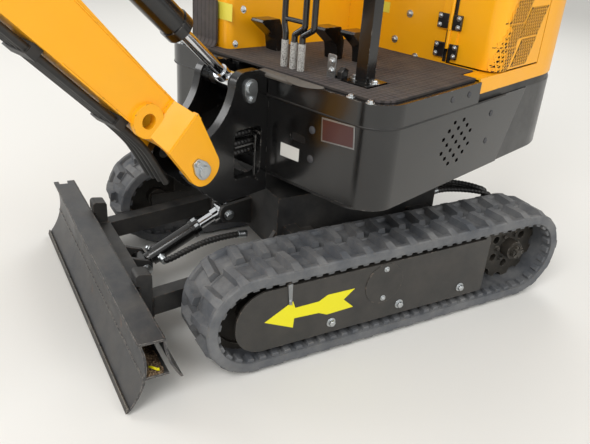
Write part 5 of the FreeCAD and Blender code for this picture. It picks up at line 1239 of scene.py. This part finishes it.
@dataclass
class Cabin:
    """Details round the operator: mat lips, wall fittings, an upright bracket, hinges and grilles.

    Attributes:
        wall: Front face of the hood's wall.
        console: Front face of the right console.
        hinge_rows: Each hinge's foot and top.
        mat_top: The mat's top, where the upright bracket stands.
        patches: The door's grille patches.
    """

    wall: float = 120.0
    console: float = -306.0
    hinge_rows: tuple[Pair, ...] = ((812, 852), (734, 774))
    mat_top: float = 714.0
    patches: tuple[GrillePatch, ...] = (
        GrillePatch(160.0, 752.0, 40.0, 30.0), GrillePatch(181.0, 815.0, 41.0, 30.0),
        GrillePatch(206.0, 886.0, 47.0, 38.0), GrillePatch(266.0, 765.0, 44.0, 36.0),
        GrillePatch(294.0, 845.0, 52.0, 39.0))

    def hinges(self) -> None:
        """Both hinges, half on the house and half on the door, and the rubber strip over the hinge line."""
        for body, x, y, bolt_x in (("house", (251.0, 285.0), self.wall - 8.0, 259.0),
                                   ("door", (300.0, 326.0), self.wall - 10.0, 318.0)):
            plates = Draft()
            for rows in self.hinge_rows:
                plates.block(x, (y, self.wall - 0.2), rows)
            piece(f"hinge_plates_{body}", plates, body, SATIN_BLACK, 1.5)
            fasteners(f"hinge_bolts_{body}", body, ZINC, 0.3,
                      [((bolt_x, y, z), AHEAD, 8, 3.5, 1.25) for z0, z1 in self.hinge_rows for z in (z0 + 8, z1 - 8)])
        for body, x in (("house", (281.0, 291.0)), ("door", (297.0, 306.0))):
            strip = Draft()
            strip.block(x, (self.wall - 2.8, self.wall - 0.2), (722, 999))
            piece(f"hinge_strip_{body}", strip, body, SEAL, 0.8)

    def wall_fittings(self) -> None:
        """Bolts and blank plates on the hood's wall and the right console."""
        fasteners("wall_bolts", "house", ZINC, 0.4,
                  [((x, self.wall, z), AHEAD, 12, 5.5, 1.3)
                   for x, z in ((-111, 816), (111, 751), (152, 830), (189, 714.5))]
                  + [((x, self.console, z), AHEAD, 11, 5, 1.3) for x, z in ((-87, 833), (-116, 737))])
        for name, x0, x1, z0, z1, face in (("wall_plate", 37, 79, 820, 850, self.wall),
                                           ("console_plate", -205, -132, 793, 839, self.console)):
            blank_plate(name, PALE_YELLOW, ((x0, z0), (x1, z0), (x1, z1), (x0, z1)), face - 0.1, 0.9, 0.2)

    def mat_lips(self) -> None:
        """The folded front lips of the mats at the deck's edge."""
        lip = ((-369, 713.2), (-376, 712.5), (-381, 706), (-378, 700), (-375, 704), (-371, 708.5), (-365, 709),
               (-352, 711.5), (-352, 713.6))
        draft = Draft()
        draft.skin([[(x, y, z) for y, z in lip] for x in (50, 75, 100, 125, 150, 173)])
        piece("mat_lip", draft, "house", LIP_RUBBER, 0.8)
        rows = []
        for t in (k / 14 for k in range(15)):
            reach, x = 24 * math.sin(math.pi * t) ** 0.7, 144 + 123 * t
            rows.append([(x, -366, 717.4), (x, -370 - reach * 0.6, 717.5), (x, -372 - reach, 713.5 - reach * 0.12),
                         (x, -369 - reach * 0.6, 712.6), (x, -364, 712.2)])
        draft = Draft()
        draft.skin(rows)
        piece("mat_tongue", draft, "house", LIP_RUBBER, 0.5)

    def bracket(self) -> None:
        """Bare upright bracket with its two bolts, and the black stop behind it."""
        foot, face = self.mat_top, -284
        upright = ((201, foot), (201, 770), (203, 774), (225, 774), (228, 771), (228, foot))
        draft = Draft()
        draft.prism([(x, face, z) for x, z in upright], (0, 3, 0))
        draft.block((201, 228), (face, -256), (foot, foot + 3))
        piece("upright_bracket", draft, "house", BARE_STRIP, 0.8)
        fasteners("bracket_bolts", "house", ZINC, 0.3, [((216, face, z), AHEAD, 11, 5, 1.2) for z in (735, 758)])
        stop = ((-280, foot), (-258, foot), (-252, 738), (-266, 746), (-280, 736))
        draft = Draft()
        draft.prism([(231, y, z) for y, z in stop], (15, 0, 0))
        piece("bracket_stop", draft, "house", SATIN_BLACK, 1.5)

    def grilles(self) -> None:
        """Fine wire mesh over each of the door's grille patches."""
        dark, wires = Draft(), Draft()
        for patch in self.patches:
            patch.draw(dark, wires)
        piece("grille_shadow", dark, "door", DARK_HOLE)
        piece("grille_mesh", wires, "door", YELLOW)

    def build(self) -> None:
        """Make every detail."""
        for make in (self.hinges, self.wall_fittings, self.mat_lips, self.bracket, self.grilles):
            make()


@dataclass
class Canopy:
    """Bolts of the canopy's front posts.

    Attributes:
        posts: Each front post's foot, (x, y).
        foot_top: Top of the posts' foot plates.
        reach: How far a bolt lies from its post's middle.
    """

    posts: tuple[Pair, ...] = ((290.0, -242.0), (-338.0, -242.0))
    foot_top: float = 719.5
    reach: float = 30.0

    def build(self) -> None:
        """Make the bolts through the posts' foot plates."""
        fasteners("post_bolts", "house", ZINC, 0.4,
                  [((x + way * self.reach, y, self.foot_top), UP, 15, 7, 1.3)
                   for x, y in self.posts for way in (-1, 1)])


@dataclass(frozen=True)
class Cushion:
    """One padded cushion with its sewn channels.

    Attributes:
        name: The piece's plain name.
        node: The CAD node it stands for.
        outline: Its side outline, (y, z).
        middle: Middle of its width.
        half: Half its width.
        box: Limits for x, y and z.
        lines: Its channels, at distances from the middle or at heights.
        across: Whether the channels lie side by side across the seat.
        cap: How far the filling may move a point.
        voxel: Size of the remesh.
        steps: Frames that the cloth is filled for.
    """

    name: str
    node: str
    outline: tuple[Pair, ...]
    middle: float
    half: float
    box: tuple[Pair, Pair, Pair]
    lines: tuple[float, ...]
    across: bool
    cap: float = 24.0
    voxel: float = 6.0
    steps: int = 20

    def pad(self) -> bpy.types.Object:
        """A crowned, slightly small pad that the simulation then fills."""
        centre_y, centre_z = (sum(p[i] for p in self.outline) / len(self.outline) for i in (0, 1))
        ends = ((0.86, 0.955), (0.96, 0.9), (1.0, 0.8))
        middle = tuple((share, 0.97) for share in (-0.6, -0.3, 0.0, 0.3, 0.6))
        draft = Draft()
        draft.skin([[(self.middle + self.half * share * 0.985, centre_y + (y - centre_y) * pinch,
                      centre_z + (z - centre_z) * pinch) for y, z in self.outline]
                    for share, pinch in (*((-share, pinch) for share, pinch in ends[::-1]), *middle, *ends)])
        return piece(self.name, draft, "house", VINYL, smooth=80)

    def apply(self, pad: bpy.types.Object) -> None:
        """Turn the pad's modifiers into its mesh."""
        mesh = bpy.data.meshes.new_from_object(pad.evaluated_get(bpy.context.evaluated_depsgraph_get()))
        old = pad.data
        pad.modifiers.clear()
        pad.data = mesh
        bpy.data.meshes.remove(old)
        if not mesh.materials:
            mesh.materials.append(VINYL.material())
        mesh.polygons.foreach_set("use_smooth", [True] * len(mesh.polygons))

    def fill(self, pad: bpy.types.Object) -> None:
        """Fill the pad with Blender's Cloth, hold each point near its start and keep only the result."""
        remesh = pad.modifiers.new("remesh", "REMESH")
        remesh.mode = "VOXEL"
        remesh.voxel_size = self.voxel * MM
        remesh.use_smooth_shade = True
        self.apply(pad)
        start = [v.co.copy() for v in pad.data.vertices]
        cloth = pad.modifiers.new("fill", "CLOTH")
        cloth.settings.use_pressure = True
        cloth.settings.uniform_pressure_force = 4.0
        cloth.settings.effector_weights.gravity = 0.0
        cloth.settings.quality = 5
        cloth.point_cache.frame_start = 1
        cloth.point_cache.frame_end = self.steps
        for step in range(1, self.steps + 1):
            bpy.context.scene.frame_set(step)
        self.apply(pad)
        bpy.context.scene.frame_set(1)
        cap = self.cap * MM
        for vert, home in zip(pad.data.vertices, start):
            move = vert.co - home
            if move.length > cap:
                vert.co = home + move.normalized() * cap

    def depth(self, place: Vector) -> float:
        """Depth of the channels, which lie on the sitter's side alone.

        Args:
            place: A place on the pad, in the group's millimetres.

        Returns:
            The depth there, in millimetres, to press along the surface's normal.
        """
        if self.across:
            shown, far = place.z > 1090, place.x - self.middle
        else:
            shown, far = place.y < 455 + (place.z - 1099) * 0.17, place.z
        return 5.0 * sum(math.exp(-((far - line) / 6.0) ** 2) for line in self.lines) if shown else 0.0

    def press(self, pad: bpy.types.Object) -> None:
        """Smooth the pad, press its sewn channels and keep it inside its box."""
        matrix = UPPER.matrix()
        back = matrix.inverted()
        smooth = pad.modifiers.new("smooth", "SMOOTH")
        smooth.factor = 0.5
        smooth.iterations = 6
        self.apply(pad)
        normals = [v.normal.copy() for v in pad.data.vertices]
        for vert, normal in zip(pad.data.vertices, normals):
            place = back @ (vert.co - normal * self.depth(back @ vert.co) * MM)
            vert.co = matrix @ Vector([min(max(c, low), high) for c, (low, high) in zip(place, self.box)])
        pad.data.update()

    def build(self) -> None:
        """Make the cushion in place of its solid."""
        pad = self.pad()
        self.fill(pad)
        self.press(pad)
        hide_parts(self.node)


@dataclass
class Seat:
    """Both padded cushions.

    Attributes:
        middle: The seat's middle.
        cushion_half: Half the seat cushion's width.
        back_half: Half the backrest's width.
        cushion: Outline of the seat cushion, (y, z).
        back: Outline of the backrest, (y, z).
    """

    middle: float = 95.0
    cushion_half: float = 215.0
    back_half: float = 205.0
    cushion: tuple[Pair, ...] = ((142, 1047), (434, 1047), (434, 1120), (380, 1127), (230, 1132), (158, 1129),
                                 (142, 1112))
    back: tuple[Pair, ...] = ((436, 1102), (498, 1102), (521, 1230), (560, 1440), (558, 1466), (540, 1474), (506, 1472),
                              (490, 1440), (470, 1300), (440, 1150))

    def build(self) -> None:
        """Make both cushions."""
        for name, node, outline, half, limits, lines, across in (
                ("cushion_pad", "seat_cushion", self.cushion, self.cushion_half, ((140, 436), (1045, 1137)),
                 (-82, 82), True),
                ("back_pad", "seat_back", self.back, self.back_half, ((432, 563), (1099, 1478)),
                 (1200, 1290, 1380), False)):
            box = ((self.middle - half, self.middle + half), *limits)
            Cushion(name, node, outline, self.middle, half, box, lines, across).build()


@dataclass
class BoomDetails:
    """Weld beads and pin heads on the boom.

    Attributes:
        weld_x: Where the beads lie, from the boom's middle.
        pin_x: End of the foot pin.
    """

    weld_x: float = 62.4
    pin_x: float = 101.0

    def build(self) -> None:
        """Make the beads along the lower boom's corners and the heads of its foot pin."""
        draft = Draft()
        for s in (-1, 1):
            for run in (((150, 80.5), (800, 80.5)), ((150, -21), (430, -28))):
                draft.bead([BOOM.lower(s * self.weld_x, *at) for at in run], 2.6, 3.2)
        piece("boom_welds", draft, "boom", YELLOW)
        fasteners("foot_pin_heads", "boom", ZINC, 0.4,
                  domes=[(BOOM.lower(s * self.pin_x, 0, 0), (s, 0, 0), 14, 3.5, 17) for s in (-1, 1)])


@dataclass
class Tail:
    """Bolts on the hood's top.

    Attributes:
        bolts: Where they sit.
    """

    bolts: tuple[Point, ...] = ((-250, 610, 1091), (340, 610, 1091))

    def build(self) -> None:
        """Make the bolts."""
        fasteners("hood_bolts", "house", ZINC, 0.4, [(place, UP, 13, 6, 1.3) for place in self.bolts])


# Studio


@dataclass(frozen=True)
class Studio:
    """Plain floor, soft lamps and the camera at the photograph's angle.

    Attributes:
        focal_mm: Lens for a sensor 36 mm wide.
        eye: Camera place seen from the slew axis, in millimetres.
        yaw: Turn of the view from +Y, in degrees.
        pitch: Downward tilt, in degrees.
        roll: Turn about the view, in degrees.
        floor_size: The floor's side, in metres.
        lamp_rows: Each lamp's name, place, size in metres and watts.
        aim: Where the lamps look.
        lit: The surround's strength for the light it gives.
        seen: Its strength where it is seen, straight or mirrored.
    """

    focal_mm: float = 40.14
    eye: Point = (1658.0, -1082.0, 1133.0)
    yaw: float = 59.53
    pitch: float = 26.97
    roll: float = 4.27
    floor_size: float = 60.0
    lamp_rows: tuple[tuple[str, Point, float, float], ...] = (
        ("key", (2.8, -3.4, 4.6), 3.2, 190.0), ("side", (4.6, 1.8, 2.6), 2.6, 70.0),
        ("back", (-3.6, 3.4, 3.6), 3.0, 80.0), ("far", (-3.4, -3.0, 2.6), 2.6, 60.0))
    aim: Point = (0.0, 0.3, 0.6)
    lit: float = 0.62
    seen: float = 0.92

    def camera(self) -> None:
        """Make the scene's camera."""
        yaw, pitch, roll = (math.radians(v) for v in (self.yaw, self.pitch, self.roll))
        ahead = Vector((-math.sin(yaw) * math.cos(pitch), math.cos(yaw) * math.cos(pitch), -math.sin(pitch)))
        right = ahead.cross(Vector(UP)).normalized()
        above = right.cross(ahead)
        cos, sin = math.cos(roll), math.sin(roll)
        right, above = cos * right + sin * above, cos * above - sin * right
        data = bpy.data.cameras.new("camera")
        data.lens = self.focal_mm
        data.sensor_width = 36.0
        data.sensor_fit = "HORIZONTAL"
        data.clip_start = 0.02
        camera = bpy.data.objects.new("camera", data)
        turn = Matrix((right, above, -ahead)).transposed().to_4x4()
        camera.matrix_world = Matrix.Translation(LOWER.matrix() @ Vector(self.eye)) @ turn
        bpy.context.scene.collection.objects.link(camera)
        bpy.context.scene.camera = camera

    def floor(self) -> None:
        """A wide pale floor that keeps the object's shadow."""
        bpy.ops.mesh.primitive_plane_add(size=self.floor_size)
        plane = bpy.context.object
        plane.name = "floor"
        mat = bpy.data.materials.new("pale floor")
        mat.use_nodes = True
        shader = mat.node_tree.nodes["Principled BSDF"]
        shader.inputs["Base Color"].default_value = linear("EDEBE6")
        shader.inputs["Roughness"].default_value = 0.85
        plane.data.materials.append(mat)

    def lamps(self) -> None:
        """Large soft lamps."""
        for name, place, size, watts in self.lamp_rows:
            data = bpy.data.lights.new(name, "AREA")
            data.shape = "DISK"
            data.size = size
            data.energy = watts
            lamp = bpy.data.objects.new(name, data)
            lamp.location = place
            aim = Vector(self.aim) - lamp.location
            lamp.rotation_euler = aim.to_track_quat("-Z", "Y").to_euler()
            bpy.context.scene.collection.objects.link(lamp)

    def surround(self) -> None:
        """The world: pale all round, and paler where the camera, a shiny surface or glass shows it."""
        world = bpy.data.worlds.new("surround")
        world.use_nodes = True
        tree = world.node_tree
        tree.nodes.clear()
        path = add(tree, "ShaderNodeLightPath")
        mirrored = add(tree, "ShaderNodeMath", {"operation": "MAXIMUM"}, i0=path.outputs["Is Glossy Ray"],
                       i1=path.outputs["Is Transmission Ray"])
        seen = add(tree, "ShaderNodeMath", {"operation": "MAXIMUM"}, i0=path.outputs["Is Camera Ray"],
                   i1=mirrored.outputs[0])
        strength = add(tree, "ShaderNodeMapRange", Value=seen.outputs[0], To_Min=self.lit, To_Max=self.seen)
        back = add(tree, "ShaderNodeBackground", Color=linear("F4F4F2"), Strength=strength.outputs["Result"])
        add(tree, "ShaderNodeOutputWorld", Surface=back.outputs[0])
        bpy.context.scene.world = world

    def build(self) -> None:
        """Set up the whole studio."""
        for make in (self.camera, self.floor, self.lamps, self.surround):
            make()
        bpy.context.scene.view_settings.view_transform = "Standard"


def main() -> None:
    """Dress the frame and add the pieces that only this file makes."""
    logging.basicConfig(level=logging.INFO, format="%(message)s")
    Studio().build()
    dress_frame()
    for group in (Tracks(), Blade(), Hoses(), Skirt(), Cabin(), Canopy(), Seat(), BoomDetails(), Tail()):
        group.build()


if __name__ == "__main__":
    main()
